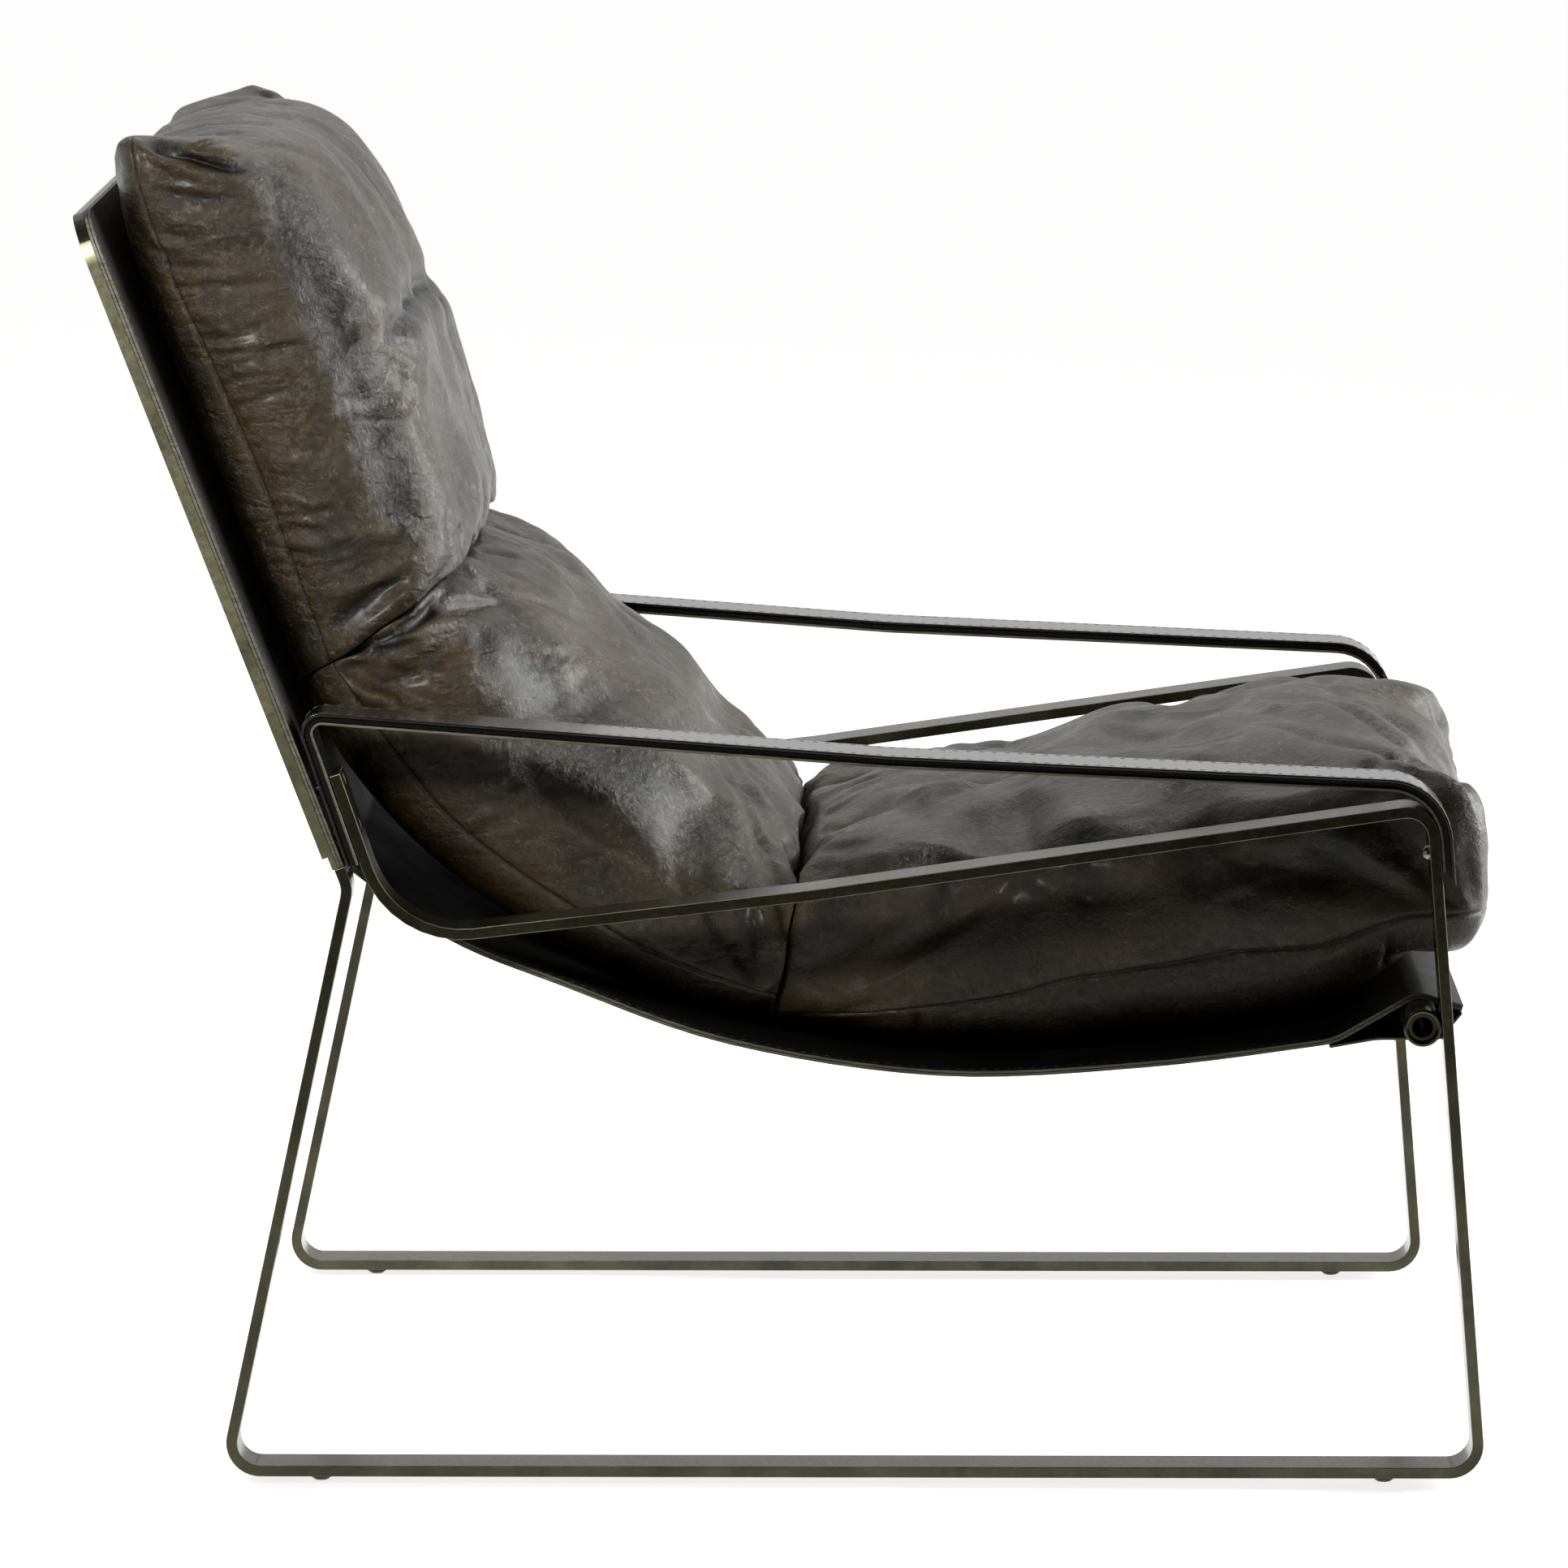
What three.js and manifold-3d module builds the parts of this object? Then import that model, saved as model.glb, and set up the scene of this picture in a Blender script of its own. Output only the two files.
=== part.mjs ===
// A lounge chair: two bent flat-bar leg loops carry a leather sling, covered arms and three stuffed cushions.
// X points to the front, Y to the sitter's left, Z up. The origin is on the floor under the chair's middle.
import * as THREE from 'three';
import { mergeVertices } from 'three/addons/utils/BufferGeometryUtils.js';
import Module from 'manifold-3d';

const wasm = await Module();
wasm.setup();

// Driving dimensions, in millimetres and degrees
const frameWidth = 700;
const barWidth = 35;
const barThickness = 7;
const contactGap = 0.3;

const glideHeight = 5;
const glideRadius = 8;
const glideWaistRadius = 7.2;
const glideWaistHeight = 2;
const glideFootRadius = 4.4;
const glideInset = 60;

// Side view of the leg loop: corners of the bar's middle line and the bend radius at each
const rearFootX = -355.5;
const frontFootX = 437.5;
const footBendRadius = 18;
const frontTopX = 403;
const frontTopHeight = 432.5;
const frontTopRadius = 17;
const railKneeX = 14;
const railKneeHeight = 377;
const railKneeRadius = 900;
const rearKneeX = -275.5;
const rearKneeHeight = 381;
const rearKneeRadius = 20;
const legTopLength = 14;

// The riser runs up along the back, so its corners are measured from the weld at the upright's foot
const rearBendDrop = 56;
const rearBendRadius = 62;
const riserTopRise = 56;
const riserTopSpread = 4.1;

// Back frame: two leaning uprights, stepped where they are welded to the rear legs
const backLean = 21;
const uprightLength = 439;
const uprightCornerRadius = 32;
const weldStepLength = 9;
const weldStepSetback = 4.5;
const lowerRailRise = 20;

const tubeRadius = 12;
const tubeBore = 7;
const tubeDrop = 137.6;

// Leather sling: its seat line is given from the back's foot, then from the tube
const plyThickness = 1.8;
const slingSideGap = 2;
const slingFootRise = 0.6;
const slingCornerRadius = 14;
const slingCornerDrop = 4;
const slingRiseAngle = 30;
const slingNoseAngle = -17;
const slingNoseLength = 29.5;
const slingDipRadius = 40;
const slingFromBack = [[63.7, -46.1], [136.7, -76.5], [242.2, -113.8]];
const slingFromTube = [[-303.5, -37.4], [-172.7, -31.9], [-56.5, -17]];
const wrapTurnReach = 13;
const wrapRiseReach = 27;
const wrapTurnRadius = 7;
const panelThickness = 2.5;

// Arms, measured from the riser's end, the rail's knee and the front leg's top
const armCoreWidth = 38;
const armCoreThickness = 3.4;
const armLeatherThickness = 1.7;
const armSeamMargin = 3;
const armTailDrop = 54.6;
const armRearRise = 39.4;
const armRearRadius = 9;
const armMiddleX = 64.7;
const armMiddleRise = 85;
const armMiddleRadius = 1500;
const armFrontRise = 13.5;
const armFrontRadius = 37;
const armTipDrop = 48.5;
const armTipLap = 9;

// Fasteners
const shankRadius = 3;
const holeClearance = 0.3;
const headRadius = 5.25;
const headHeight = 3.3;
const headCrownRadius = 3.15;
const headRimHeight = 1.15;
const sunkHeadRadius = 5.5;
const sunkHeadDepth = 2.5;
const endRecess = 1;
const armScrewDrop = 30.5;
const clampBoltInset = 6;
const clampBoltSpacing = 30;
const slingScrewInset = 50;

// Cushions
const cushionGap = 0.6;
const creaseGap = 3;
const headOverhang = 19;
const headDepth = 17;
const headBend = 60;
const creaseRearRise = 109;
const creaseFrontRise = 141;
const creaseDepth = 149;
const bridgeEndX = -105;
const seatCreaseX = -12;
const seatCreaseLean = 23;
const seatCreaseHeight = 114;
const seatNoseReach = 47;
const seatNoseRise = 18.2;

// Cushion crowns: drop below the head and depth on the back, X and height over the sling, offsets from the tube
const upperCrown = [[3.9, 102.2], [45, 142.2], [99.3, 161], [143.5, 164.4], [187.3, 161.4], [232.5, 159.1],
  [278.6, 156.4]];
const lowerCrown = [[-178, 229.6], [-155, 224.2], [-127, 203.5], [-95, 186.3], [-64, 167.4], [-42, 147.6],
  [-17, 131.7]];
const seatCrown = [[50, 127.4], [110, 136.7], [148, 137.8], [182, 149], [225, 152.4], [264, 151.2], [300, 159],
  [345, 163]];
const noseCrown = [[-3.5, 155.2], [47, 152.2]];

// How squarely each cushion turns at its sides, head and foot, first in front and then behind, and at its corners
const crownPower = 2.5;
const upperForm = { inset: 70, side: [5.5, 6], head: [5, 8], foot: [12, 14], corner: [14, 14], sideFall: 0.24 };
const lowerForm = { inset: 70, side: [4.5, 6], head: [9, 14], foot: [10, 14], corner: [14, 14], sideFall: 0.2 };
const seatForm = { inset: 76, side: [4.2, 6], head: [10, 14], foot: [6, 5], corner: [14, 18], sideFall: 0.08 };

// Fineness of round and curved shapes
const arcStep = Math.PI / 18;
const roundSides = 12;
const tubeSides = 24;
const cornerSegments = 8;
const seatSteps = 36;
const cornerSteps = 2;
const cushionSteps = 18;
const cushionLayers = 6;
const edgeGather = 0.6;
const weldTolerance = 1e-4;
const drillBehind = 30;
const drillLength = 90;
const slopeStep = 1;

const steel = { color: 0x4d4a3c, roughness: 0.45, metalness: 0.9 };
const darkSteel = { color: 0x2b2a26, roughness: 0.4, metalness: 0.9 };
const slingLeather = { color: 0x1a1916, roughness: 0.5, metalness: 0 };
const armLeather = { color: 0x1d1c1a, roughness: 0.45, metalness: 0 };
const cushionLeather = { color: 0x3a3128, roughness: 0.42, metalness: 0 };
const glidePlastic = { color: 0x2e2d2a, roughness: 0.6, metalness: 0 };

const chair = new THREE.Group();
chair.name = 'leather_sling_lounge_chair';

const vec = (x, z) => new THREE.Vector2(x, z);
const degrees = THREE.MathUtils.degToRad;
const direction = (angle) => vec(Math.cos(angle), Math.sin(angle));
const leftOf = (d) => vec(-d.y, d.x);
const along = (point, d, length) => point.clone().addScaledVector(d, length);

function addPart(name, geometry, material) {
  const mesh = new THREE.Mesh(geometry, new THREE.MeshStandardMaterial(material));
  mesh.name = name;
  chair.add(mesh);
}

// Joins and cuts closed meshes
function toSolid(geometry) {
  const bare = geometry.clone();
  bare.deleteAttribute('normal');
  bare.deleteAttribute('uv');
  const merged = mergeVertices(bare, weldTolerance);
  const vertProperties = new Float32Array(merged.attributes.position.array);
  const triVerts = new Uint32Array(merged.index.array);
  return new wasm.Manifold(new wasm.Mesh({ numProp: 3, vertProperties, triVerts }));
}

function toGeometry(solid) {
  const mesh = solid.getMesh();
  const geometry = new THREE.BufferGeometry();
  geometry.setAttribute('position', new THREE.BufferAttribute(mesh.vertProperties, 3));
  geometry.setIndex(new THREE.BufferAttribute(mesh.triVerts, 1));
  geometry.computeVertexNormals();
  return geometry;
}

function drill(geometry, cutters) {
  let solid = toSolid(geometry);
  for (const cutter of cutters) {
    solid = solid.subtract(toSolid(cutter));
  }
  return toGeometry(solid);
}

// The middle line of a bent strip: straight runs joined by arcs, from corners with a point and a radius
function bentLine(corners) {
  const line = [corners[0].point];
  for (let i = 1; i < corners.length - 1; i += 1) {
    const { point, radius } = corners[i];
    const incoming = point.clone().sub(corners[i - 1].point).normalize();
    const outgoing = corners[i + 1].point.clone().sub(point).normalize();
    const turn = Math.atan2(incoming.cross(outgoing), incoming.dot(outgoing));
    const start = along(point, incoming, -radius * Math.tan(Math.abs(turn) / 2));
    const centre = along(start, leftOf(incoming), radius * Math.sign(turn));
    const steps = Math.max(2, Math.ceil(Math.abs(turn) / arcStep));
    for (let k = 0; k <= steps; k += 1) {
      line.push(start.clone().rotateAround(centre, (turn * k) / steps));
    }
  }
  line.push(corners[corners.length - 1].point);
  return line;
}

// A line moved sideways: to the left of its direction where the distance is positive
function offsetLine(line, distance) {
  return line.map((point, i) => {
    const before = (i > 0 ? point.clone().sub(line[i - 1]) : line[1].clone().sub(point)).normalize();
    const after = (i < line.length - 1 ? line[i + 1].clone().sub(point) : before.clone()).normalize();
    const normal = leftOf(before).add(leftOf(after)).normalize();
    return along(point, normal, distance / normal.dot(leftOf(before)));
  });
}

// A flat strip that follows a side-view line, extruded across the chair between two Y values
function strip(line, inner, outer, yLow, yHigh) {
  const outline = [...offsetLine(line, outer), ...offsetLine(line, inner).reverse()];
  return acrossChair(outline, yLow, yHigh);
}

function acrossChair(outline, yLow, yHigh) {
  const options = { depth: yHigh - yLow, bevelEnabled: false };
  const geometry = new THREE.ExtrudeGeometry(new THREE.Shape(outline), options);
  geometry.rotateX(Math.PI / 2);
  geometry.translate(0, yHigh, 0);
  return geometry;
}

// Where two lines given by point and direction meet
function meet(p, d, q, e) {
  const reach = q.clone().sub(p).cross(e) / d.cross(e);
  return along(p, d, reach);
}

const sides = { right: -1, left: 1 };
const halfFrame = frameWidth / 2;
const barMiddleY = halfFrame - barWidth / 2;
const halfBar = barThickness / 2;

// A strip centred on one side's bar, as its Y limits
function sideSpan(sign, width) {
  const middle = sign * barMiddleY;
  return [middle - width / 2, middle + width / 2];
}

// Layers clamped between the uprights and the risers
const faceDepth = plyThickness + contactGap;
const slingThickness = faceDepth + plyThickness;
const slingDepth = halfBar + contactGap;
const armThickness = armCoreThickness + 2 * (contactGap + armLeatherThickness);
const armStandoff = halfBar + contactGap + armThickness / 2;
const clampDepth = slingDepth + slingThickness + armThickness + contactGap + halfBar;

// Back plane: rise runs up the upright from the weld, depth is forward from the upright's middle
const backUp = direction(Math.PI / 2 + degrees(backLean));
const backForward = leftOf(backUp).negate();
const rearKnee = vec(rearKneeX, rearKneeHeight);
const legTop = along(rearKnee, backUp, legTopLength);
const weldPoint = along(legTop, backForward, -weldStepSetback);
const onBack = (rise, depth) => along(along(weldPoint, backUp, rise), backForward, depth);

// Side-view corners of the leg loop
const runnerHeight = glideHeight + halfBar;
const riserTop = onBack(riserTopRise, clampDepth + riserTopSpread);
const rearBend = onBack(-rearBendDrop, clampDepth);
const railKnee = vec(railKneeX, railKneeHeight);
const frontTop = vec(frontTopX, frontTopHeight);
const frontFoot = vec(frontFootX, runnerHeight);
const rearFoot = vec(rearFootX, runnerHeight);

// A flat bar or sheet lying in the back plane
function backBoard(riseLow, riseHigh, depthLow, depthHigh, yLow, yHigh) {
  const outline = [
    onBack(riseLow, depthLow),
    onBack(riseLow, depthHigh),
    onBack(riseHigh, depthHigh),
    onBack(riseHigh, depthLow),
  ];
  return acrossChair(outline, yLow, yHigh);
}

// A profile of radius and reach, turned round a side-view direction that starts at a point
function turned(profile, start, d, y) {
  const geometry = new THREE.LatheGeometry(profile, roundSides);
  geometry.rotateX(Math.PI / 2);
  geometry.rotateY(Math.PI / 2 - Math.atan2(d.y, d.x));
  geometry.translate(start.x, y, start.y);
  return geometry;
}

function rod(radius, start, d, length, y) {
  return turned([vec(0, 0), vec(radius, 0), vec(radius, length), vec(0, length)], start, d, y);
}

// A button-head screw: its head stands behind the seat point and its shank runs along the direction
function buttonScrew(seat, d, shankLength, y) {
  const profile = [
    vec(0, -headHeight),
    vec(headCrownRadius, -headHeight),
    vec(headRadius, -headRimHeight),
    vec(headRadius, 0),
    vec(shankRadius, 0),
    vec(shankRadius, shankLength),
    vec(0, shankLength),
  ];
  return turned(profile, seat, d, y);
}

// A countersunk screw, or with a clearance its hole: the head lies flush at the seat point
function flushScrew(seat, d, length, y, clearance) {
  const rim = sunkHeadRadius + 2 * clearance;
  const shank = shankRadius + clearance;
  const profile = [
    vec(0, -clearance),
    vec(rim, -clearance),
    vec(shank, sunkHeadDepth),
    vec(shank, length),
    vec(0, length),
  ];
  return turned(profile, seat, d, y);
}

// Clamp bolts through upright, sling, arm tail and riser, and the arm screw through the front leg
const riserUp = riserTop.clone().sub(rearBend).normalize();
const legDown = frontFoot.clone().sub(frontTop).normalize();
const legForward = leftOf(legDown);
const onFrontLeg = (drop) => along(frontTop, legDown, -drop / legDown.y);
const holeRadius = shankRadius + holeClearance;
const upperBoltRise = riserTopRise - clampBoltInset;
const clampBoltRises = { lower: upperBoltRise - clampBoltSpacing, upper: upperBoltRise };
const topRailFoot = uprightLength - barWidth;
const panelFoot = lowerRailRise + barWidth + contactGap;
const panelHead = topRailFoot - contactGap;
const slingScrewRises = {
  lower: panelFoot + slingScrewInset,
  middle: (panelFoot + panelHead) / 2,
  upper: panelHead - slingScrewInset,
};

function riserDepth(rise) {
  const middle = onBack(rise, 0);
  return meet(middle, backForward, rearBend, riserUp).distanceTo(middle);
}

function backHoles(rises, sign) {
  return Object.values(rises).map((rise) =>
    rod(holeRadius, onBack(rise, -drillBehind), backForward, drillLength, sign * barMiddleY));
}

const clampHoles = (sign) => backHoles(clampBoltRises, sign);
const slingHoles = (sign) => backHoles(slingScrewRises, sign);

// Screws from behind the upright: each is sunk in it and reaches the depth given for its rise
function backScrew(rise, reach, sign, clearance) {
  const seat = onBack(rise, -halfBar);
  return flushScrew(seat, backForward, reach + halfBar, sign * barMiddleY, clearance);
}

const clampReach = (rise) => riserDepth(rise) + halfBar - endRecess;
const slingReach = slingDepth + plyThickness;

function sunkHoles(sign) {
  const clamped = Object.values(clampBoltRises).map((rise) => [rise, clampReach(rise)]);
  const screwed = Object.values(slingScrewRises).map((rise) => [rise, slingReach]);
  return [...clamped, ...screwed].map(([rise, reach]) => backScrew(rise, reach, sign, holeClearance));
}

function armHole(sign) {
  const start = along(onFrontLeg(armScrewDrop), legForward, -drillBehind);
  return rod(holeRadius, start, legForward, drillLength, sign * barMiddleY);
}

// Leg loops
const loopLine = bentLine([
  { point: riserTop },
  { point: rearBend, radius: rearBendRadius },
  { point: railKnee, radius: railKneeRadius },
  { point: frontTop, radius: frontTopRadius },
  { point: frontFoot, radius: footBendRadius },
  { point: rearFoot, radius: footBendRadius },
  { point: rearKnee, radius: rearKneeRadius },
  { point: legTop },
]);
for (const [side, sign] of Object.entries(sides)) {
  const bar = strip(loopLine, -halfBar, halfBar, ...sideSpan(sign, barWidth));
  addPart(`${side}_leg_loop`, drill(bar, [...clampHoles(sign), armHole(sign)]), steel);
}

// Uprights: rounded at the outer top corner, with the rear half of the foot cut back over the weld
function uprightSheet() {
  const inner = barMiddleY - barWidth / 2;
  const corner = uprightCornerRadius;
  const sheet = new THREE.Shape();
  sheet.moveTo(inner, contactGap);
  sheet.lineTo(halfFrame, contactGap);
  sheet.lineTo(halfFrame, uprightLength - corner);
  sheet.absarc(halfFrame - corner, uprightLength - corner, corner, 0, Math.PI / 2, false);
  sheet.lineTo(inner, uprightLength);
  return sheet;
}

// A sheet drawn across and up the back, given a depth range in front of the uprights' middle plane
function backSheet(shape, depthLow, depthHigh, sign) {
  const options = { depth: depthHigh - depthLow, bevelEnabled: false, curveSegments: cornerSegments };
  const geometry = new THREE.ExtrudeGeometry(shape, options);
  geometry.translate(0, 0, depthLow);
  const across = new THREE.Vector3(0, sign, 0);
  const up = new THREE.Vector3(backUp.x, 0, backUp.y);
  const forward = new THREE.Vector3(backForward.x, 0, backForward.y);
  geometry.applyMatrix4(new THREE.Matrix4().makeBasis(across, up, forward));
  geometry.translate(weldPoint.x, 0, weldPoint.y);
  return sign > 0 ? geometry : turnInsideOut(geometry);
}

function turnInsideOut(geometry) {
  const position = geometry.attributes.position;
  for (let i = 0; i < position.count; i += 3) {
    const first = new THREE.Vector3().fromBufferAttribute(position, i);
    const second = new THREE.Vector3().fromBufferAttribute(position, i + 1);
    position.setXYZ(i, second.x, second.y, second.z);
    position.setXYZ(i + 1, first.x, first.y, first.z);
  }
  return geometry;
}

for (const [side, sign] of Object.entries(sides)) {
  const bar = backSheet(uprightSheet(), -halfBar, halfBar, sign);
  const [yLow, yHigh] = sideSpan(sign, barWidth * 2);
  const step = backBoard(-weldStepLength, weldStepLength, -barThickness, 0, yLow, yHigh);
  addPart(`${side}_upright`, drill(bar, [step, ...sunkHoles(sign)]), steel);
}

// Cross rails between the uprights, and the tube behind the front legs
const railEndY = halfFrame - barWidth - contactGap;
const topRail = backBoard(topRailFoot, uprightLength, -halfBar, halfBar, -railEndY, railEndY);
addPart('back_top_rail', topRail, steel);
const lowerRail = backBoard(lowerRailRise, lowerRailRise + barWidth, -halfBar, halfBar, -railEndY, railEndY);
addPart('back_lower_rail', lowerRail, steel);

const tubeCentre = along(onFrontLeg(tubeDrop), legForward, -(halfBar + contactGap + tubeRadius));
const tubeProfile = [
  vec(tubeBore, -halfFrame),
  vec(tubeRadius, -halfFrame),
  vec(tubeRadius, halfFrame),
  vec(tubeBore, halfFrame),
  vec(tubeBore, -halfFrame),
];
const tube = new THREE.LatheGeometry(tubeProfile, tubeSides);
tube.translate(tubeCentre.x, 0, tubeCentre.y);
addPart('front_cross_tube', tube, steel);

// Sling: the underside line runs down the back, turns forward, sags, and goes over the tube to the nose
const slingCorner = onBack(-slingCornerDrop, slingDepth);
const riseDirection = direction(degrees(slingRiseAngle));
const noseDirection = direction(degrees(slingNoseAngle));
const overTube = tubeRadius + contactGap;
const risePoint = along(tubeCentre, leftOf(riseDirection), overTube);
const nosePoint = along(tubeCentre, leftOf(noseDirection), overTube);
const slingCrest = meet(risePoint, riseDirection, nosePoint, noseDirection);
const slingNose = along(slingCrest, noseDirection, slingNoseLength);
const offsetsFrom = (point, offsets) => offsets.map(([x, z]) => vec(point.x + x, point.y + z));
const seatCurve = new THREE.SplineCurve([
  slingCorner,
  ...offsetsFrom(slingCorner, slingFromBack),
  ...offsetsFrom(tubeCentre, slingFromTube),
]);
const seatPoints = seatCurve.getPoints(seatSteps);
const seatEnd = seatPoints[seatPoints.length - 1];
const slingDip = meet(seatEnd, seatCurve.getTangent(1), slingCrest, riseDirection);
const backRun = bentLine([
  { point: onBack(uprightLength, slingDepth) },
  { point: slingCorner, radius: slingCornerRadius },
  { point: seatPoints[cornerSteps] },
]);
const frontRun = bentLine([
  { point: seatEnd },
  { point: slingDip, radius: slingDipRadius },
  { point: slingCrest, radius: overTube },
  { point: slingNose },
]);
const slingLine = [...backRun.slice(0, -1), ...seatPoints.slice(cornerSteps, -1), ...frontRun.slice(1)];
const halfSeat = halfFrame - barWidth - slingSideGap;

// One ply: the narrow run of the whole line joined to wide wings over the uprights
function slingPly(inner, outer) {
  let solid = toSolid(strip(slingLine, inner, outer, -halfSeat, halfSeat));
  const wing = new THREE.Shape();
  const corner = uprightCornerRadius;
  const wingInner = halfSeat - barWidth;
  wing.moveTo(wingInner, slingFootRise);
  wing.lineTo(halfFrame, slingFootRise);
  wing.lineTo(halfFrame, uprightLength - corner);
  wing.absarc(halfFrame - corner, uprightLength - corner, corner, 0, Math.PI / 2, false);
  wing.lineTo(wingInner, uprightLength);
  for (const sign of Object.values(sides)) {
    solid = solid.add(toSolid(backSheet(wing, slingDepth + inner, slingDepth + outer, sign)));
  }
  return toGeometry(solid);
}

const bothSides = (holes) => Object.values(sides).flatMap((sign) => holes(sign));
const lining = slingPly(0, plyThickness);
const face = slingPly(faceDepth, slingThickness);
addPart('sling_lining', drill(lining, [...bothSides(clampHoles), ...bothSides(slingHoles)]), slingLeather);
addPart('sling_face', drill(face, bothSides(clampHoles)), slingLeather);

// The ply that returns from the nose under the tube and is sewn to the lining behind it
const wrapDrop = contactGap + plyThickness / 2;
const wrapLevel = tubeCentre.y - tubeRadius - wrapDrop;
const wrapLine = bentLine([
  { point: vec(slingNose.x, slingNose.y - wrapDrop) },
  { point: vec(tubeCentre.x + wrapTurnReach, wrapLevel), radius: wrapTurnRadius },
  { point: vec(tubeCentre.x - wrapRiseReach, wrapLevel), radius: slingDipRadius },
  { point: vec(seatEnd.x, seatEnd.y - wrapDrop - contactGap) },
]);
const wrap = strip(wrapLine, -plyThickness / 2, plyThickness / 2, -halfSeat, halfSeat);
addPart('sling_front_wrap', wrap, slingLeather);

// The panel behind the lining fills the back frame between its bars
const panelFront = slingDepth - contactGap;
const panel = backBoard(panelFoot, panelHead, panelFront - panelThickness, panelFront, -railEndY, railEndY);
addPart('back_panel', panel, slingLeather);

// Arms: a steel core between two leathers, clamped behind the riser and screwed to the front leg's front
const tailPoint = along(riserTop, leftOf(riserUp), armStandoff);
const onTail = (rise) => along(tailPoint, riserUp, rise / riserUp.y);
const onArmFront = (drop) => along(onFrontLeg(drop), legForward, armStandoff);
const armMiddle = vec(armMiddleX, railKneeHeight + armMiddleRise);

function armLine(tipDrop) {
  return bentLine([
    { point: onTail(-armTailDrop) },
    { point: onTail(armRearRise), radius: armRearRadius },
    { point: armMiddle, radius: armMiddleRadius },
    { point: onArmFront(-armFrontRise), radius: armFrontRadius },
    { point: onArmFront(tipDrop) },
  ]);
}

const coreFace = armCoreThickness / 2;
const leatherInside = coreFace + contactGap;
const leatherOutside = leatherInside + armLeatherThickness;
const armShortTip = armTipDrop - armTipLap;
const armLeatherWidth = armCoreWidth + 2 * armSeamMargin;
for (const [side, sign] of Object.entries(sides)) {
  const coreSpan = sideSpan(sign, armCoreWidth);
  const leatherSpan = sideSpan(sign, armLeatherWidth);
  const holes = [...clampHoles(sign), armHole(sign)];
  const core = strip(armLine(armShortTip), -coreFace, coreFace, ...coreSpan);
  addPart(`${side}_arm_core`, drill(core, holes), darkSteel);
  const upper = strip(armLine(armTipDrop), leatherInside, leatherOutside, ...leatherSpan);
  addPart(`${side}_arm_upper_leather`, drill(upper, clampHoles(sign)), armLeather);
  const lower = strip(armLine(armShortTip), -leatherOutside, -leatherInside, ...leatherSpan);
  addPart(`${side}_arm_lower_leather`, drill(lower, holes), armLeather);
}

// Fasteners
const armScrewLength = barThickness + contactGap + armLeatherThickness + contactGap + armCoreThickness;
for (const [side, sign] of Object.entries(sides)) {
  const armSeat = along(onFrontLeg(armScrewDrop), legForward, -halfBar - contactGap);
  const armScrew = buttonScrew(armSeat, legForward, armScrewLength, sign * barMiddleY);
  addPart(`${side}_arm_screw`, armScrew, darkSteel);
  for (const [level, rise] of Object.entries(clampBoltRises)) {
    addPart(`${side}_clamp_bolt_${level}`, backScrew(rise, clampReach(rise), sign, 0), darkSteel);
  }
  for (const [level, rise] of Object.entries(slingScrewRises)) {
    addPart(`${side}_sling_screw_${level}`, backScrew(rise, slingReach, sign, 0), darkSteel);
  }
}

// Glides under the runners
const glideProfile = [
  vec(0, 0),
  vec(glideFootRadius, 0),
  vec(glideWaistRadius, glideWaistHeight),
  vec(glideRadius, glideHeight - contactGap),
  vec(0, glideHeight - contactGap),
];
for (const [side, sign] of Object.entries(sides)) {
  for (const [end, x] of Object.entries({ rear: rearFootX + glideInset, front: frontFootX - glideInset })) {
    const glide = new THREE.LatheGeometry(glideProfile, roundSides);
    glide.rotateX(Math.PI / 2);
    glide.translate(x, sign * barMiddleY, 0);
    addPart(`${side}_${end}_glide`, glide, glidePlastic);
  }
}

// Rounds the corner that two directions of a box make
function roundPair(a, b, power) {
  const size = Math.max(Math.abs(a), Math.abs(b));
  const norm = (Math.abs(a) ** power + Math.abs(b) ** power) ** (1 / power);
  const factor = norm > 0 ? size / norm : 1;
  return [a * factor, b * factor];
}

// Moves the rows of a box's grid towards its edges, where the shape turns
const towardsEdge = (t) => THREE.MathUtils.lerp(t, Math.sin((t * Math.PI) / 2), edgeGather);

// A stuffed cushion between a rear and a front side-view curve, fullest along its middle
function cushion(rear, front, form) {
  const box = new THREE.BoxGeometry(2, 2, 2, cushionSteps, cushionSteps, cushionLayers);
  const position = box.attributes.position;
  for (let i = 0; i < position.count; i += 1) {
    let [u, v, w] = new THREE.Vector3().fromBufferAttribute(position, i).toArray().map(towardsEdge);
    const layer = w > 0 ? 0 : 1;
    [v, w] = roundPair(v, w, form.side[layer]);
    [u, w] = roundPair(u, w, (u > 0 ? form.foot : form.head)[layer]);
    [u, v] = roundPair(u, v, form.corner[u > 0 ? 1 : 0]);
    const full = (w + 1) / 2;
    const share = full * (1 - form.sideFall * Math.abs(v) ** crownPower * full);
    const place = rear.getPointAt((u + 1) / 2).lerp(front.getPointAt((u + 1) / 2), share);
    position.setXYZ(i, place.x, v * (halfFrame - form.inset), place.y);
  }
  return toGeometry(toSolid(box));
}

// The sling's upper surface, where the cushions lie
const restDepth = slingDepth + slingThickness + cushionGap;
const slingTop = offsetLine(slingLine, slingThickness + cushionGap);
function onSling(x) {
  const i = slingTop.findLastIndex((point) => point.x <= x);
  const span = (x - slingTop[i].x) / (slingTop[i + 1].x - slingTop[i].x);
  return slingTop[i].clone().lerp(slingTop[i + 1], span);
}

const overSling = ([x, height]) => vec(x, onSling(x).y + height);

function followSling(path, fromX, toX) {
  const between = slingTop.filter((point) => point.x > fromX && point.x < toX);
  for (const point of [onSling(fromX), ...between, onSling(toX)]) {
    path.lineTo(point.x, point.y);
  }
}

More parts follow.
